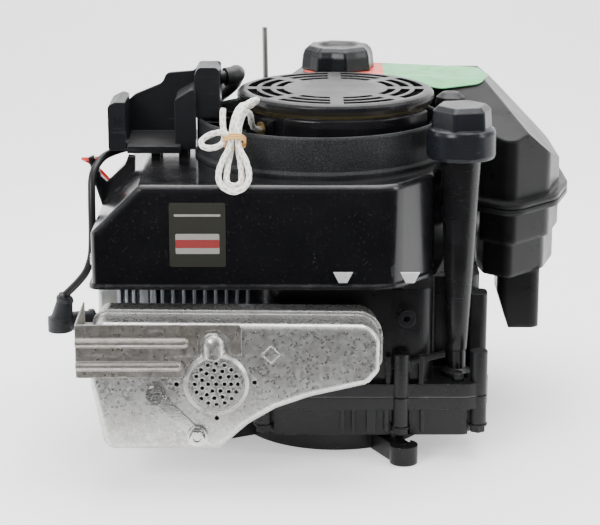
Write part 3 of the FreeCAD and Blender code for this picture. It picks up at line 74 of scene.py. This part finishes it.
# ---- starter rope -------------------------------------------------------------------------------
ROPE_R = 2.6 * MM
ROPE_POINTS = (
    # out of the eyelet, up and over, down to the band
    (-.0615, -.0480, .2770), (-.0694, -.0542, .2770), (-.0720, -.0605, .2840), (-.0725, -.0680, .2930),
    (-.0750, -.0785, .2985), (-.0790, -.0900, .2965), (-.0815, -.1010, .2880),
    # inner loop of the hank
    (-.0818, -.1105, .2776), (-.0813, -.1170, .2714), (-.0795, -.1252, .2640), (-.0783, -.1341, .2560),
    (-.0785, -.1404, .2503), (-.0845, -.1426, .2483), (-.0905, -.1404, .2503), (-.0907, -.1341, .2560),
    (-.0895, -.1252, .2640), (-.0875, -.1170, .2714), (-.0873, -.1105, .2776),
    # back up beside the first run, folded at the eyelet, and down again in front of both
    (-.0870, -.1010, .2885), (-.0845, -.0910, .2975), (-.0805, -.0800, .3030), (-.0765, -.0705, .3020),
    (-.0730, -.0645, .2995), (-.0680, -.0620, .3030), (-.0665, -.0690, .3065), (-.0720, -.0790, .3065),
    (-.0785, -.0910, .3035), (-.0835, -.1030, .2935),
    # outer loop of the hank
    (-.0819, -.1142, .2816), (-.0811, -.1209, .2756), (-.0765, -.1264, .2697), (-.0725, -.1346, .2609),
    (-.0720, -.1424, .2531), (-.0775, -.1489, .2470), (-.0845, -.1509, .2454), (-.0925, -.1483, .2478),
    (-.0975, -.1416, .2538), (-.0965, -.1339, .2616), (-.0925, -.1264, .2697), (-.0887, -.1209, .2756),
    (-.0877, -.1160, .2805),
    # side loop
    (-.0910, -.1149, .2867), (-.0975, -.1127, .2873), (-.1055, -.1132, .2849), (-.1120, -.1165, .2811),
    (-.1115, -.1209, .2770), (-.1035, -.1227, .2753), (-.0960, -.1199, .2774),
    # free end
    (-.0929, -.1133, .2806), (-.0935, -.1075, .2861), (-.0945, -.1035, .2915), (-.0948, -.0985, .2980),
    (-.0945, -.0950, .3030),
)


def spline_points(points, per_point):
    """Points along the NURBS spline whose control points are given, read from a curve without bevel."""
    curve = bpy.data.curves.new("route", "CURVE")
    curve.dimensions = "3D"
    spline = curve.splines.new("NURBS")
    spline.points.add(len(points) - 1)
    for control, point in zip(spline.points, points):
        control.co = (*point, 1.0)
    spline.order_u = 3
    spline.use_endpoint_u = True
    spline.resolution_u = per_point
    holder = bpy.data.objects.new("route", curve)
    mesh = bpy.data.meshes.new_from_object(holder)
    line = [vertex.co.copy() for vertex in mesh.vertices]
    bpy.data.objects.remove(holder)
    bpy.data.curves.remove(curve)
    bpy.data.meshes.remove(mesh)
    return line


def carried_frames(line):
    """At each point: its place, the way along, and two directions across that turn as little as they can."""
    frames = []
    side = None
    for index, place in enumerate(line):
        ahead = (line[min(index + 1, len(line) - 1)] - line[max(index - 1, 0)]).normalized()
        if side is None:
            side = ahead.orthogonal().normalized()
        side = (side - ahead * side.dot(ahead)).normalized()
        frames.append((place, side, ahead.cross(side)))
    return frames


def piece(name, mesh, material, body="root"):
    obj = bpy.data.objects.new(name, mesh)
    bpy.context.collection.objects.link(obj)
    obj.data.materials.append(material)
    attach(obj, body)
    return obj


def shade_smooth(mesh):
    mesh.polygons.foreach_set("use_smooth", [True] * len(mesh.polygons))
    mesh.update()


def braided_tube(name, line, radius, pitch, around=24, depth=0.09):
    """A tube whose surface is pushed in and out as a braid of two crossing sets of strands."""
    verts, faces, groove_shade = [], [], []
    travelled = 0.0
    strands = 4
    for index, (place, side, up) in enumerate(carried_frames(line)):
        if index:
            travelled += (place - line[index - 1]).length
        for step in range(around):
            turn = 2 * math.pi * step / around
            along = 2 * math.pi * travelled / pitch
            right = math.cos(strands * turn + along)
            left = math.cos(strands * turn - along)
            weave = max(right, left) * 0.7 + 0.3 * abs(right * left)
            reach = radius * (1 - depth + depth * weave)
            verts.append(place + (side * math.cos(turn) + up * math.sin(turn)) * reach)
            # the weave height is also kept as the weave attribute; the rope material uses it to paint shade
            # into the grooves
            groove_shade.append(0.5 + 0.5 * weave)
    rings = len(line)
    for ring in range(rings - 1):
        for step in range(around):
            after = (step + 1) % around
            faces.append((ring * around + step, ring * around + after,
                          (ring + 1) * around + after, (ring + 1) * around + step))
    faces.append(tuple(reversed(range(around))))
    faces.append(tuple((rings - 1) * around + step for step in range(around)))
    mesh = bpy.data.meshes.new(name)
    mesh.from_pydata(verts, [], faces)
    groove_shade_layer = mesh.attributes.new("weave", "FLOAT", "POINT")
    groove_shade_layer.data.foreach_set("value", groove_shade)
    shade_smooth(mesh)
    return mesh


# ---- materials ----------------------------------------------------------------------------------
class Nodes:
    """A short way to write a node tree whose coordinates are the row frame's, in metres."""

    def __init__(self, name):
        self.material = bpy.data.materials.new(name)
        self.material.use_nodes = True
        self.tree = self.material.node_tree
        self.tree.nodes.clear()
        self.shader = self.tree.nodes.new("ShaderNodeBsdfPrincipled")
        out = self.tree.nodes.new("ShaderNodeOutputMaterial")
        self.tree.links.new(self.shader.outputs[0], out.inputs[0])
        self.coords = self.tree.nodes.new("ShaderNodeTexCoord").outputs["Object"]

    def put(self, socket, value):
        if isinstance(value, bpy.types.NodeSocket):
            self.tree.links.new(value, socket)
        else:
            socket.default_value = value

    def noise(self, size, detail=3.0, stretch=None, roughness=0.55):
        """Noise whose blotches are about size metres across."""
        node = self.tree.nodes.new("ShaderNodeTexNoise")
        node.inputs["Scale"].default_value = 1.0 / size
        node.inputs["Detail"].default_value = detail
        node.inputs["Roughness"].default_value = roughness
        coords = self.coords
        if stretch:
            mapping = self.tree.nodes.new("ShaderNodeMapping")
            mapping.inputs["Scale"].default_value = stretch
            self.tree.links.new(coords, mapping.inputs["Vector"])
            coords = mapping.outputs[0]
        self.tree.links.new(coords, node.inputs["Vector"])
        return node.outputs["Fac"]

    def cells(self, size, feature="F1"):
        node = self.tree.nodes.new("ShaderNodeTexVoronoi")
        node.feature = feature
        node.inputs["Scale"].default_value = 1.0 / size
        self.tree.links.new(self.coords, node.inputs["Vector"])
        return node

    def spread(self, value, low, high, to_low=0.0, to_high=1.0):
        node = self.tree.nodes.new("ShaderNodeMapRange")
        self.put(node.inputs["Value"], value)
        node.inputs["From Min"].default_value = low
        node.inputs["From Max"].default_value = high
        node.inputs["To Min"].default_value = to_low
        node.inputs["To Max"].default_value = to_high
        return node.outputs[0]

    def maths(self, operation, first, second=0.0):
        node = self.tree.nodes.new("ShaderNodeMath")
        node.operation = operation
        node.use_clamp = operation in ("MULTIPLY", "ADD")
        self.put(node.inputs[0], first)
        self.put(node.inputs[1], second)
        return node.outputs[0]

    def mix(self, share, first, second):
        node = self.tree.nodes.new("ShaderNodeMix")
        node.data_type = "RGBA"
        self.put(node.inputs["Factor"], share)
        for socket, value in ((node.inputs["A"], first), (node.inputs["B"], second)):
            self.put(socket, value if isinstance(value, bpy.types.NodeSocket) else (*value, 1.0))
        return node.outputs["Result"]

    def rounded(self, radius):
        """Normals rounded over sharp edges, and a mask that is 1 along those edges."""
        node = self.tree.nodes.new("ShaderNodeBevel")
        node.samples = 4
        node.inputs["Radius"].default_value = radius
        true_normal = self.tree.nodes.new("ShaderNodeNewGeometry").outputs["Normal"]
        dot = self.tree.nodes.new("ShaderNodeVectorMath")
        dot.operation = "DOT_PRODUCT"
        self.tree.links.new(node.outputs[0], dot.inputs[0])
        self.tree.links.new(true_normal, dot.inputs[1])
        return node.outputs[0], self.spread(dot.outputs["Value"], 0.99, 0.80)

    def upward(self, low=0.55, high=0.95):
        geometry = self.tree.nodes.new("ShaderNodeNewGeometry")
        parts = self.tree.nodes.new("ShaderNodeSeparateXYZ")
        self.tree.links.new(geometry.outputs["Normal"], parts.inputs[0])
        return self.spread(parts.outputs["Z"], low, high)

    def bump(self, height, distance, normal=None, strength=1.0):
        node = self.tree.nodes.new("ShaderNodeBump")
        node.inputs["Strength"].default_value = strength
        node.inputs["Distance"].default_value = distance
        self.put(node.inputs["Height"], height)
        if normal is not None:
            self.tree.links.new(normal, node.inputs["Normal"])
        return node.outputs[0]

    def finish(self, color, roughness, metallic=0.0, normal=None, **constants):
        shader = self.shader
        if not isinstance(color, bpy.types.NodeSocket):
            color = (*color, 1.0)
        self.put(shader.inputs["Base Color"], color)
        self.put(shader.inputs["Roughness"], roughness)
        self.put(shader.inputs["Metallic"], metallic)
        if normal is not None:
            self.tree.links.new(normal, shader.inputs["Normal"])
        for key, value in constants.items():
            shader.inputs[key.replace("_", " ")].default_value = value
        return self.material


def paint(name, color, rough, round_mm=1.2, dust=0.25, orange_peel=0.00003, wear=0.5, coat=0.0):
    """Black enamel on metal: slight orange peel, fine dust on top faces, bare spots along edges."""
    n = Nodes(name)
    normal, edge = n.rounded(round_mm * MM)
    blotch = n.noise(0.035, 4)
    fine = n.noise(0.0012, 2)
    specks = n.spread(n.noise(0.0016, 1), 0.70, 0.76)
    dirt = n.maths("MULTIPLY", n.upward(), n.spread(blotch, 0.35, 0.75, 0.0, dust))
    worn = n.maths("MULTIPLY", n.maths("MULTIPLY", edge, n.spread(n.noise(0.009, 4), 0.52, 0.68)), wear)
    base = n.mix(n.spread(blotch, 0.3, 0.7), color, tuple(c * 1.4 for c in color))
    base = n.mix(dirt, base, (0.085, 0.083, 0.080))
    base = n.mix(n.maths("MULTIPLY", specks, 0.10), base, (0.20, 0.195, 0.18))
    base = n.mix(worn, base, (0.16, 0.16, 0.165))
    roughness = n.maths("ADD", n.spread(blotch, 0.3, 0.7, rough * 0.85, rough * 1.2),
                        n.maths("MULTIPLY", dirt, 0.35))
    return n.finish(base, roughness, 0.0, n.bump(fine, orange_peel, normal), Coat_Weight=coat,
                    Coat_Roughness=0.07, Specular_IOR_Level=0.26)


def moulded(name, color, rough, round_mm=1.5, grain_mm=0.9, grain=0.00005, dust=0.3, speckle=0.0, scuffs=0.5,
            underside=None, shine=0.26):
    """Moulded plastic: fine grain, dust on top faces, pale scuffs along edges and across faces."""
    n = Nodes(name)
    normal, edge = n.rounded(round_mm * MM)
    blotch = n.noise(0.028, 4)
    fine = n.noise(grain_mm * MM, 3, roughness=0.7)
    lines = n.spread(n.noise(0.010, 5, stretch=(0.25, 1.0, 3.0)), 0.63, 0.72)
    dirt = n.maths("MULTIPLY", n.upward(0.4, 0.95), n.spread(blotch, 0.3, 0.75, 0.05, dust))
    pale = n.maths("MULTIPLY", n.maths("ADD", n.maths("MULTIPLY", edge, n.spread(blotch, 0.35, 0.6)),
                                      n.maths("MULTIPLY", lines, 0.35)), scuffs)
    base = n.mix(n.spread(blotch, 0.3, 0.7), color, tuple(c * 1.5 for c in color))
    base = n.mix(dirt, base, (0.105, 0.102, 0.096))
    base = n.mix(pale, base, (0.085, 0.088, 0.092))
    if speckle:
        base = n.mix(n.spread(fine, 0.50, 0.70, 0.0, speckle), base, (0.15, 0.155, 0.16))
    if underside:
        base = n.mix(n.upward(-0.15, -0.70), base, underside)
    roughness = n.maths("ADD", n.spread(blotch, 0.3, 0.7, rough * 0.85, rough * 1.15),
                        n.maths("MULTIPLY", dirt, 0.3))
    return n.finish(base, roughness, 0.0, n.bump(fine, grain, normal), Specular_IOR_Level=shine)


def rubber(name, color, rough=0.55):
    n = Nodes(name)
    normal, edge = n.rounded(0.6 * MM)
    blotch = n.noise(0.018, 4)
    fine = n.noise(0.0011, 3)
    bloom = n.spread(blotch, 0.35, 0.75, 0.0, 0.35)
    base = n.mix(bloom, color, tuple(min(1.0, c * 1.7 + 0.012) for c in color))
    # painted highlight: every edge painted lighter all along
    base = n.mix(n.maths("MULTIPLY", edge, 0.3), base, tuple(min(1.0, c * 2 + 0.05) for c in color))
    return n.finish(base, n.spread(blotch, 0.3, 0.7, rough * 0.85, rough * 1.15), 0.0,
                    n.bump(fine, 0.00004, normal), Specular_IOR_Level=0.36)


def cast_metal(name, color, rough=0.45, grain=0.00018, stain=(0.20, 0.19, 0.18), round_mm=0.8):
    """Bare cast metal: sandy skin, stains, and a painted highlight along the edges."""
    n = Nodes(name)
    normal, edge = n.rounded(round_mm * MM)
    blotch = n.noise(0.02, 5)
    sand = n.noise(0.0016, 4, roughness=0.7)
    base = n.mix(n.spread(blotch, 0.35, 0.75, 0.0, 0.55), color, stain)
    # painted highlight: every edge painted brighter all along
    base = n.mix(n.maths("MULTIPLY", edge, 0.55), base, tuple(min(1.0, c * 1.35) for c in color))
    base = n.mix(n.spread(sand, 0.5, 0.8, 0.0, 0.35), base, tuple(c * 0.55 for c in color))
    return n.finish(base, n.spread(sand, 0.3, 0.7, rough * 0.8, rough * 1.3), 0.85,
                    n.bump(sand, grain, normal))


def machined(name, color, rough=0.28, stretch=(1, 1, 12), stain=0.35):
    """Turned or ground metal: fine tool lines and light staining."""
    n = Nodes(name)
    normal, edge = n.rounded(0.35 * MM)
    lines = n.noise(0.006, 4, stretch=stretch)
    blotch = n.noise(0.012, 4)
    base = n.mix(n.spread(blotch, 0.4, 0.8, 0.0, stain), color, tuple(c * 0.4 for c in color))
    # painted highlight: every edge painted brighter all along
    base = n.mix(n.maths("MULTIPLY", edge, 0.6), base, tuple(min(1.0, c * 1.3) for c in color))
    return n.finish(base, n.spread(lines, 0.3, 0.7, rough * 0.7, rough * 1.5), 1.0,
                    n.bump(lines, 0.00002, normal))


def aluminized(name, light, dark, rough=0.30, spangle_mm=2.0, round_mm=1.5, tarnish=0.3):
    """Aluminized sheet: small spangles in several greys, a heat tint, scratches and a painted highlight
    along the edges.
    """
    n = Nodes(name)
    normal, edge = n.rounded(round_mm * MM)
    spangle = n.cells(spangle_mm * MM).outputs["Color"]
    grey = n.tree.nodes.new("ShaderNodeSeparateColor")
    n.tree.links.new(spangle, grey.inputs[0])
    blotch = n.noise(0.03, 5)
    scratch = n.spread(n.noise(0.02, 5, stretch=(0.15, 1, 2.5)), 0.62, 0.68)
    share = n.maths("ADD", n.maths("MULTIPLY", grey.outputs[0], 0.45), n.spread(blotch, 0.3, 0.75, 0.0, 0.5))
    base = n.mix(share, light, dark)
    base = n.mix(n.spread(blotch, 0.5, 0.8, 0.0, tarnish), base, (0.42, 0.36, 0.28))
    base = n.mix(n.maths("MULTIPLY", scratch, 0.35), base, (0.85, 0.85, 0.84))
    # painted highlight: every edge painted near white
    base = n.mix(n.maths("MULTIPLY", edge, 0.5), base, (0.9, 0.89, 0.86))
    roughness = n.maths("ADD", n.maths("MULTIPLY", grey.outputs[1], 0.18), rough)
    height = n.maths("ADD", n.maths("MULTIPLY", grey.outputs[2], 0.3), n.noise(0.004, 3))
    return n.finish(base, roughness, 0.9, n.bump(height, 0.000015, normal))


def braid(name, color, groove_shade_color):
    n = Nodes(name)
    weave = n.tree.nodes.new("ShaderNodeAttribute")
    weave.attribute_name = "weave"
    fibres = n.noise(0.0007, 3, stretch=(1, 1, 0.3))
    dirt = n.noise(0.012, 4)
    # painted shade: the grooves between the strands are painted darker than the crests, from the weave
    # attribute
    base = n.mix(n.spread(weave.outputs["Fac"], 0.35, 0.75), groove_shade_color, color)
    base = n.mix(n.spread(dirt, 0.5, 0.8, 0.0, 0.35), base, (0.55, 0.50, 0.40))
    base = n.mix(n.spread(fibres, 0.55, 0.8, 0.0, 0.25), base, tuple(c * 0.7 for c in color))
    return n.finish(base, n.spread(fibres, 0.3, 0.7, 0.6, 0.85), 0.0, n.bump(fibres, 0.00012),
                    Sheen_Weight=0.3, Sheen_Roughness=0.5)


def fixed(name, color, rough, metallic=0.0, grain_mm=1.0, grain=0.00004, change=0.25):
    """A plain printed, plated or ceramic finish with slight mottling."""
    n = Nodes(name)
    normal, edge = n.rounded(0.4 * MM)
    blotch = n.noise(0.01, 4)
    fine = n.noise(grain_mm * MM, 2)
    base = n.mix(n.spread(blotch, 0.35, 0.75, 0.0, change), color, tuple(c * 0.6 for c in color))
    # painted highlight: every edge painted lighter all along
    base = n.mix(n.maths("MULTIPLY", edge, 0.4), base, tuple(min(1.0, c * 1.3 + 0.03) for c in color))
    return n.finish(base, n.spread(blotch, 0.3, 0.7, rough * 0.85, rough * 1.2), metallic,
                    n.bump(fine, grain, normal))


def two_tone(name, left, right, border):
    """Printed card in two colours that meet at x = border."""
    n = Nodes(name)
    parts = n.tree.nodes.new("ShaderNodeSeparateXYZ")
    n.tree.links.new(n.coords, parts.inputs[0])
    blotch = n.noise(0.012, 4)
    base = n.mix(n.spread(parts.outputs["X"], border - 0.0004, border + 0.0004), left, right)
    base = n.mix(n.spread(blotch, 0.45, 0.8, 0.0, 0.35), base, (0.06, 0.07, 0.05))
    return n.finish(base, n.spread(blotch, 0.3, 0.7, 0.35, 0.5), 0.0, n.bump(n.noise(0.002, 2), 0.00004))


shroud_paint = paint("shroud_paint", (0.0035, 0.0035, 0.0042), 0.17, round_mm=3.0, dust=0.14, wear=0.3,
                     coat=0.25)
engine_paint = paint("engine_paint", (0.0045, 0.0045, 0.0052), 0.28, round_mm=1.6, dust=0.14,
                     orange_peel=0.00012, wear=0.3)
collar_plastic = moulded("collar_plastic", (0.008, 0.0085, 0.0095), 0.50, round_mm=1.2, grain_mm=0.8,
                         grain=0.00016, dust=0.14, speckle=0.42, scuffs=0.4)
cover_plastic = moulded("cover_plastic", (0.006, 0.006, 0.007), 0.25, round_mm=1.2, grain=0.00003, dust=0.42,
                        scuffs=0.5, underside=(0.075, 0.062, 0.032))
drum_plastic = moulded("drum_plastic", (0.004, 0.004, 0.0045), 0.12, round_mm=0.8, dust=0.1, scuffs=0.3,
                       shine=0.5)
duct_plastic = moulded("duct_plastic", (0.007, 0.0075, 0.009), 0.32, round_mm=1.2, grain=0.00004, dust=0.25,
                       scuffs=0.7)
tank_plastic = moulded("tank_plastic", (0.0055, 0.0055, 0.006), 0.30, round_mm=5.0, grain=0.00003, dust=0.14,
                       scuffs=0.3, shine=0.14)
tube_plastic = moulded("tube_plastic", (0.005, 0.005, 0.0055), 0.26, round_mm=1.0, dust=0.16, scuffs=0.3)
cap_plastic = moulded("cap_plastic", (0.006, 0.007, 0.009), 0.24, round_mm=1.8, grain=0.00004, dust=0.2,
                      scuffs=0.8)
fuel_cap_plastic = moulded("fuel_cap_plastic", (0.005, 0.0055, 0.007), 0.25, round_mm=3.0, grain=0.00003,
                           dust=0.3, scuffs=0.7)
black_rubber = rubber("black_rubber", (0.006, 0.006, 0.0065), 0.42)
lead_rubber = rubber("lead_rubber", (0.006, 0.006, 0.0065), 0.36)
boot_rubber = rubber("boot_rubber", (0.011, 0.0115, 0.013), 0.42)
wire_red = rubber("wire_red", (0.50, 0.012, 0.010), 0.4)
gasket_fibre = rubber("gasket_fibre", (0.06, 0.055, 0.05), 0.8)
band_rubber = rubber("band_rubber", (0.62, 0.36, 0.12), 0.5)
bare_casting = cast_metal("bare_casting", (0.56, 0.60, 0.65), 0.42)
dark_casting = cast_metal("dark_casting", (0.34, 0.34, 0.35), 0.45)
rocker_paint = cast_metal("rocker_paint", (0.50, 0.51, 0.53), 0.35, grain=0.00006)
muffler_sheet = aluminized("muffler_sheet", (0.66, 0.655, 0.64), (0.38, 0.375, 0.365), 0.24)
shield_sheet = aluminized("shield_sheet", (0.46, 0.44, 0.41), (0.22, 0.205, 0.185), 0.27, round_mm=1.0,
                          tarnish=0.45)
ground_steel = machined("ground_steel", (0.56, 0.56, 0.56))
plain_steel = machined("plain_steel", (0.40, 0.39, 0.38), 0.36)
rod_steel = machined("rod_steel", (0.34, 0.34, 0.32), 0.42)
zinc = machined("zinc", (0.72, 0.72, 0.70), 0.22, stain=0.5)
brass = machined("brass", (0.52, 0.38, 0.16), 0.3)
plug_body = fixed("plug_body", (0.62, 0.58, 0.48), 0.32, 0.2)
clip_plate = fixed("clip_plate", (0.82, 0.82, 0.82), 0.28, 0.55, change=0.15)
tag_card = two_tone("tag_card", (0.80, 0.10, 0.06), (0.13, 0.50, 0.20), 0.047)
label_dark = fixed("label_dark", (0.022, 0.022, 0.016), 0.33, change=0.4)
label_pale = fixed("label_pale", (0.24, 0.235, 0.21), 0.4)
label_red = fixed("label_red", (0.24, 0.018, 0.018), 0.4)
rope_braid = braid("rope_braid", (0.90, 0.885, 0.83), (0.48, 0.46, 0.40))
steel_slots = {
    "crankshaft": ground_steel, "camshaft": ground_steel, "governor_gear": plain_steel,
    "gallery_plug": plain_steel, "wrist_pin": ground_steel, "piston_rings": ground_steel,
    "valve_springs": plain_steel, "exhaust_valve": plain_steel, "intake_valve": ground_steel,
    "exhaust_rocker": plain_steel, "intake_rocker": plain_steel, "exhaust_pushrod": ground_steel,
    "intake_pushrod": ground_steel, "starter_spring": plain_steel, "throttle_shaft": plain_steel,
    "governor_lever": plain_steel, "throttle_link": plain_steel, "control_lever": rod_steel,
    "starter_cup": plain_steel, "flywheel_nut": zinc,
}
finishes = {
    "blower_housing": shroud_paint, "crankcase": engine_paint, "sump": engine_paint,
    "ignition_coil": dark_casting, "cylinder_barrel": bare_casting, "cylinder_head": bare_casting,
    "flywheel": bare_casting, "piston": bare_casting, "connecting_rod": bare_casting,
    "rod_big_end": bare_casting, "intake_manifold": bare_casting, "carburetor": bare_casting,
    "muffler_body": muffler_sheet, "heat_shield": shield_sheet, "flange_bolts": engine_paint,
    "small_screws": zinc, "muffler_bolts": zinc, "outlet_screen": muffler_sheet,
    "rocker_cover": rocker_paint, "gaskets": gasket_fibre, "intake_collar": collar_plastic,
    "starter_cover": cover_plastic, "air_duct": duct_plastic, "air_filter_box": duct_plastic,
    "oil_fill_tube": tube_plastic, "starter_pulley": drum_plastic, "fuel_tank": tank_plastic,
    "dipstick": cap_plastic, "fuel_cap": fuel_cap_plastic, "breather_hose": black_rubber,
    "fuel_line": black_rubber, "spark_plug_boot": boot_rubber, "spark_lead": lead_rubber,
    "tank_post": black_rubber, "stop_wire": wire_red, "spark_plug": plug_body, "rope_eyelet": brass,
    "filler_tag": tag_card,
}
finishes.update(steel_slots)
for node, material in finishes.items():
    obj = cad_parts[node]
    obj.data.materials.clear()
    obj.data.materials.append(material)

# ---- rope pieces --------------------------------------------------------------------------------
rope_line = spline_points(ROPE_POINTS, 14)
rope = piece("rope", braided_tube("rope", rope_line, ROPE_R, pitch=0.011), rope_braid)
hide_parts("starter_rope", "rope_hank")


def rope_band():
    """The rubber band wound three times round the bundle where it is tied."""
    middle = Vector((-0.0850, -0.1135, 0.2790))
    along = Vector((0, -0.731, -0.682))
    out = Vector((0, -0.682, 0.731))
    wide, deep, thick = 9.2 * MM, 7.4 * MM, 0.9 * MM
    turns, steps = 3, 40
    line = []
    for step in range(turns * steps + 1):
        turn = 2 * math.pi * step / steps
        drift = (step / steps - turns / 2) * 1.9 * MM
        line.append(middle + Vector((1, 0, 0)) * math.cos(turn) * wide
                    + out * (math.sin(turn) * deep + 0.6 * MM)
                    + along * drift)
    verts, faces = [], []
    for place, side, up in carried_frames(line):
        verts += [place + (side * math.cos(a) + up * math.sin(a)) * thick
                  for a in (math.pi * k / 4 for k in range(8))]
    for ring in range(len(line) - 1):
        for k in range(8):
            faces.append((ring * 8 + k, ring * 8 + (k + 1) % 8,
                          ring * 8 + 8 + (k + 1) % 8, ring * 8 + 8 + k))
    mesh = bpy.data.meshes.new("rope_band")
    mesh.from_pydata(verts, [], faces)
    shade_smooth(mesh)
    return piece("rope_band", mesh, band_rubber)


band = rope_band()


# ---- trim on the shroud -------------------------------------------------------------------------
def plate(name, outline, y, thick, material, bevel=0.0):
    """A flat piece standing on the shroud's front at y; its outline is (x, z) pairs."""
    mesh = bpy.data.meshes.new(name)
    form = bmesh.new()
    face = form.faces.new([form.verts.new((x, y, z)) for x, z in outline])
    grown = bmesh.ops.extrude_face_region(form, geom=[face])
    corners = [v for v in grown["geom"] if isinstance(v, bmesh.types.BMVert)]
    bmesh.ops.translate(form, verts=corners, vec=(0, -thick, 0))
    bmesh.ops.recalc_face_normals(form, faces=form.faces)
    if bevel:
        front = [e for e in form.edges if all(abs(v.co.y - (y - thick)) < 1e-6 for v in e.verts)]
        bmesh.ops.bevel(form, geom=front, offset=bevel, segments=3, affect="EDGES", profile=0.6)
    form.to_mesh(mesh)
    form.free()
    return piece(name, mesh, material)


def rounded_rectangle(x0, z0, x1, z1, radius, steps=5):
    points = []
    for cx, cz, start in ((x1 - radius, z1 - radius, 0), (x0 + radius, z1 - radius, 90),
                          (x0 + radius, z0 + radius, 180), (x1 - radius, z0 + radius, 270)):
        for k in range(steps + 1):
            a = math.radians(start + 90 * k / steps)
            points.append((cx + radius * math.cos(a), cz + radius * math.sin(a)))
    return points


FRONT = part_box("blower_housing")[0].y + 2.5 * MM
plate("label", rounded_rectangle(-0.138, 0.179, -0.092, 0.233, 0.0016), FRONT, 0.25 * MM, label_dark)
plate("label_line", rounded_rectangle(-0.134, 0.2215, -0.096, 0.2235, 0.0008), FRONT - 0.25 * MM, 0.08 * MM,
      label_pale)
plate("label_field", rounded_rectangle(-0.133, 0.190, -0.097, 0.207, 0.0012), FRONT - 0.25 * MM, 0.08 * MM,
      label_pale)
plate("label_stripe", rounded_rectangle(-0.133, 0.195, -0.097, 0.202, 0.0008), FRONT - 0.33 * MM, 0.05 * MM,
      label_red)
for index, centre in enumerate((0.0044, 0.0596)):
    wedge = ((centre - 0.008, 0.1745), (centre - 0.0035, 0.1655),
             (centre + 0.0035, 0.1655), (centre + 0.008, 0.1745))
    plate(f"front_clip_{index}", wedge, FRONT, 1.6 * MM, clip_plate, bevel=0.5 * MM)


# ---- stage, light -------------------------------------------------------------------------------
def backdrop():
    """A pale floor that curves up into a wall behind the engine. The wall hides it from cameras behind."""
    floor_front, wall_start, wall_top, bend = -2.6, 1.1, 2.6, 0.7
    profile = [(floor_front, 0.0), (wall_start, 0.0)]
    for k in range(1, 13):
        a = math.radians(90 * k / 12)
        profile.append((wall_start + bend * math.sin(a), bend * (1 - math.cos(a))))
    profile.append((wall_start + bend, wall_top))
    verts = [(x, y, z - 0.0006) for y, z in profile for x in (-3.0, 3.0)]
    faces = [(2 * k, 2 * k + 1, 2 * k + 3, 2 * k + 2) for k in range(len(profile) - 1)]
    mesh = bpy.data.meshes.new("backdrop")
    mesh.from_pydata(verts, [], faces)
    shade_smooth(mesh)
    obj = bpy.data.objects.new("backdrop", mesh)
    bpy.context.collection.objects.link(obj)
    n = Nodes("backdrop")
    obj.data.materials.append(n.finish((0.95, 0.95, 0.95), n.spread(n.noise(0.5), 0.3, 0.7, 0.85, 0.95),
                                       Emission_Color=(1.0, 1.0, 1.0, 1.0), Emission_Strength=0.6))


def area_light(name, place, aim, size, power, color=(1, 1, 1), size_y=None):
    data = bpy.data.lights.new(name, "AREA")
    data.shape = "RECTANGLE"
    data.size = size
    data.size_y = size_y or size
    data.energy = power
    data.color = color
    light = bpy.data.objects.new(name, data)
    light.location = place
    light.rotation_mode = "QUATERNION"
    light.rotation_quaternion = (Vector(aim) - Vector(place)).to_track_quat("-Z", "Y")
    bpy.context.collection.objects.link(light)


def world_light():
    """Even light from above and behind, fading to dark low down in front, so black faces stay black."""
    world = bpy.data.worlds.new("studio")
    world.use_nodes = True
    tree = world.node_tree
    sky = tree.nodes["Background"]
    sky.inputs[0].default_value = (0.97, 0.98, 1.0, 1.0)
    parts = tree.nodes.new("ShaderNodeSeparateXYZ")
    tree.links.new(tree.nodes.new("ShaderNodeTexCoord").outputs["Generated"], parts.inputs[0])
    reach = tree.nodes.new("ShaderNodeMath")
    reach.operation = "ADD"
    tree.links.new(parts.outputs["Y"], reach.inputs[0])
    tree.links.new(parts.outputs["Z"], reach.inputs[1])
    fade = tree.nodes.new("ShaderNodeMapRange")
    tree.links.new(reach.outputs[0], fade.inputs["Value"])
    fade.inputs["From Min"].default_value = -0.6
    fade.inputs["From Max"].default_value = 0.5
    fade.inputs["To Min"].default_value = 0.12
    fade.inputs["To Max"].default_value = 1.25
    tree.links.new(fade.outputs[0], sky.inputs[1])
    bpy.context.scene.world = world


def black_flag():
    """A dark card on the floor in front: only reflections see it."""
    half, near, far, height = 1.6, -0.32, -1.7, 0.004
    verts = [(-half, near, height), (half, near, height), (half, far, height), (-half, far, height)]
    mesh = bpy.data.meshes.new("black_flag")
    mesh.from_pydata(verts, [], [(0, 1, 2, 3)])
    obj = bpy.data.objects.new("black_flag", mesh)
    bpy.context.collection.objects.link(obj)
    obj.data.materials.append(Nodes("black_flag").finish((0.004, 0.004, 0.004), 0.9, Specular_IOR_Level=0.0))
    obj.visible_camera = False
    obj.visible_diffuse = False
    obj.visible_shadow = False
    obj.visible_transmission = False
    obj.visible_volume_scatter = False


backdrop()
black_flag()
world_light()
area_light("top", (0.1, 0.25, 1.5), (0, 0, 0.2), 1.3, 40)
area_light("front_left", (-1.1, -1.5, 1.2), (-0.05, 0, 0.12), 0.7, 27)
area_light("right", (1.5, -0.5, 0.8), (0.05, 0, 0.15), 0.35, 9, size_y=1.0)
area_light("left", (-1.5, 0.1, 0.5), (-0.1, 0, 0.15), 0.5, 5, size_y=0.9)
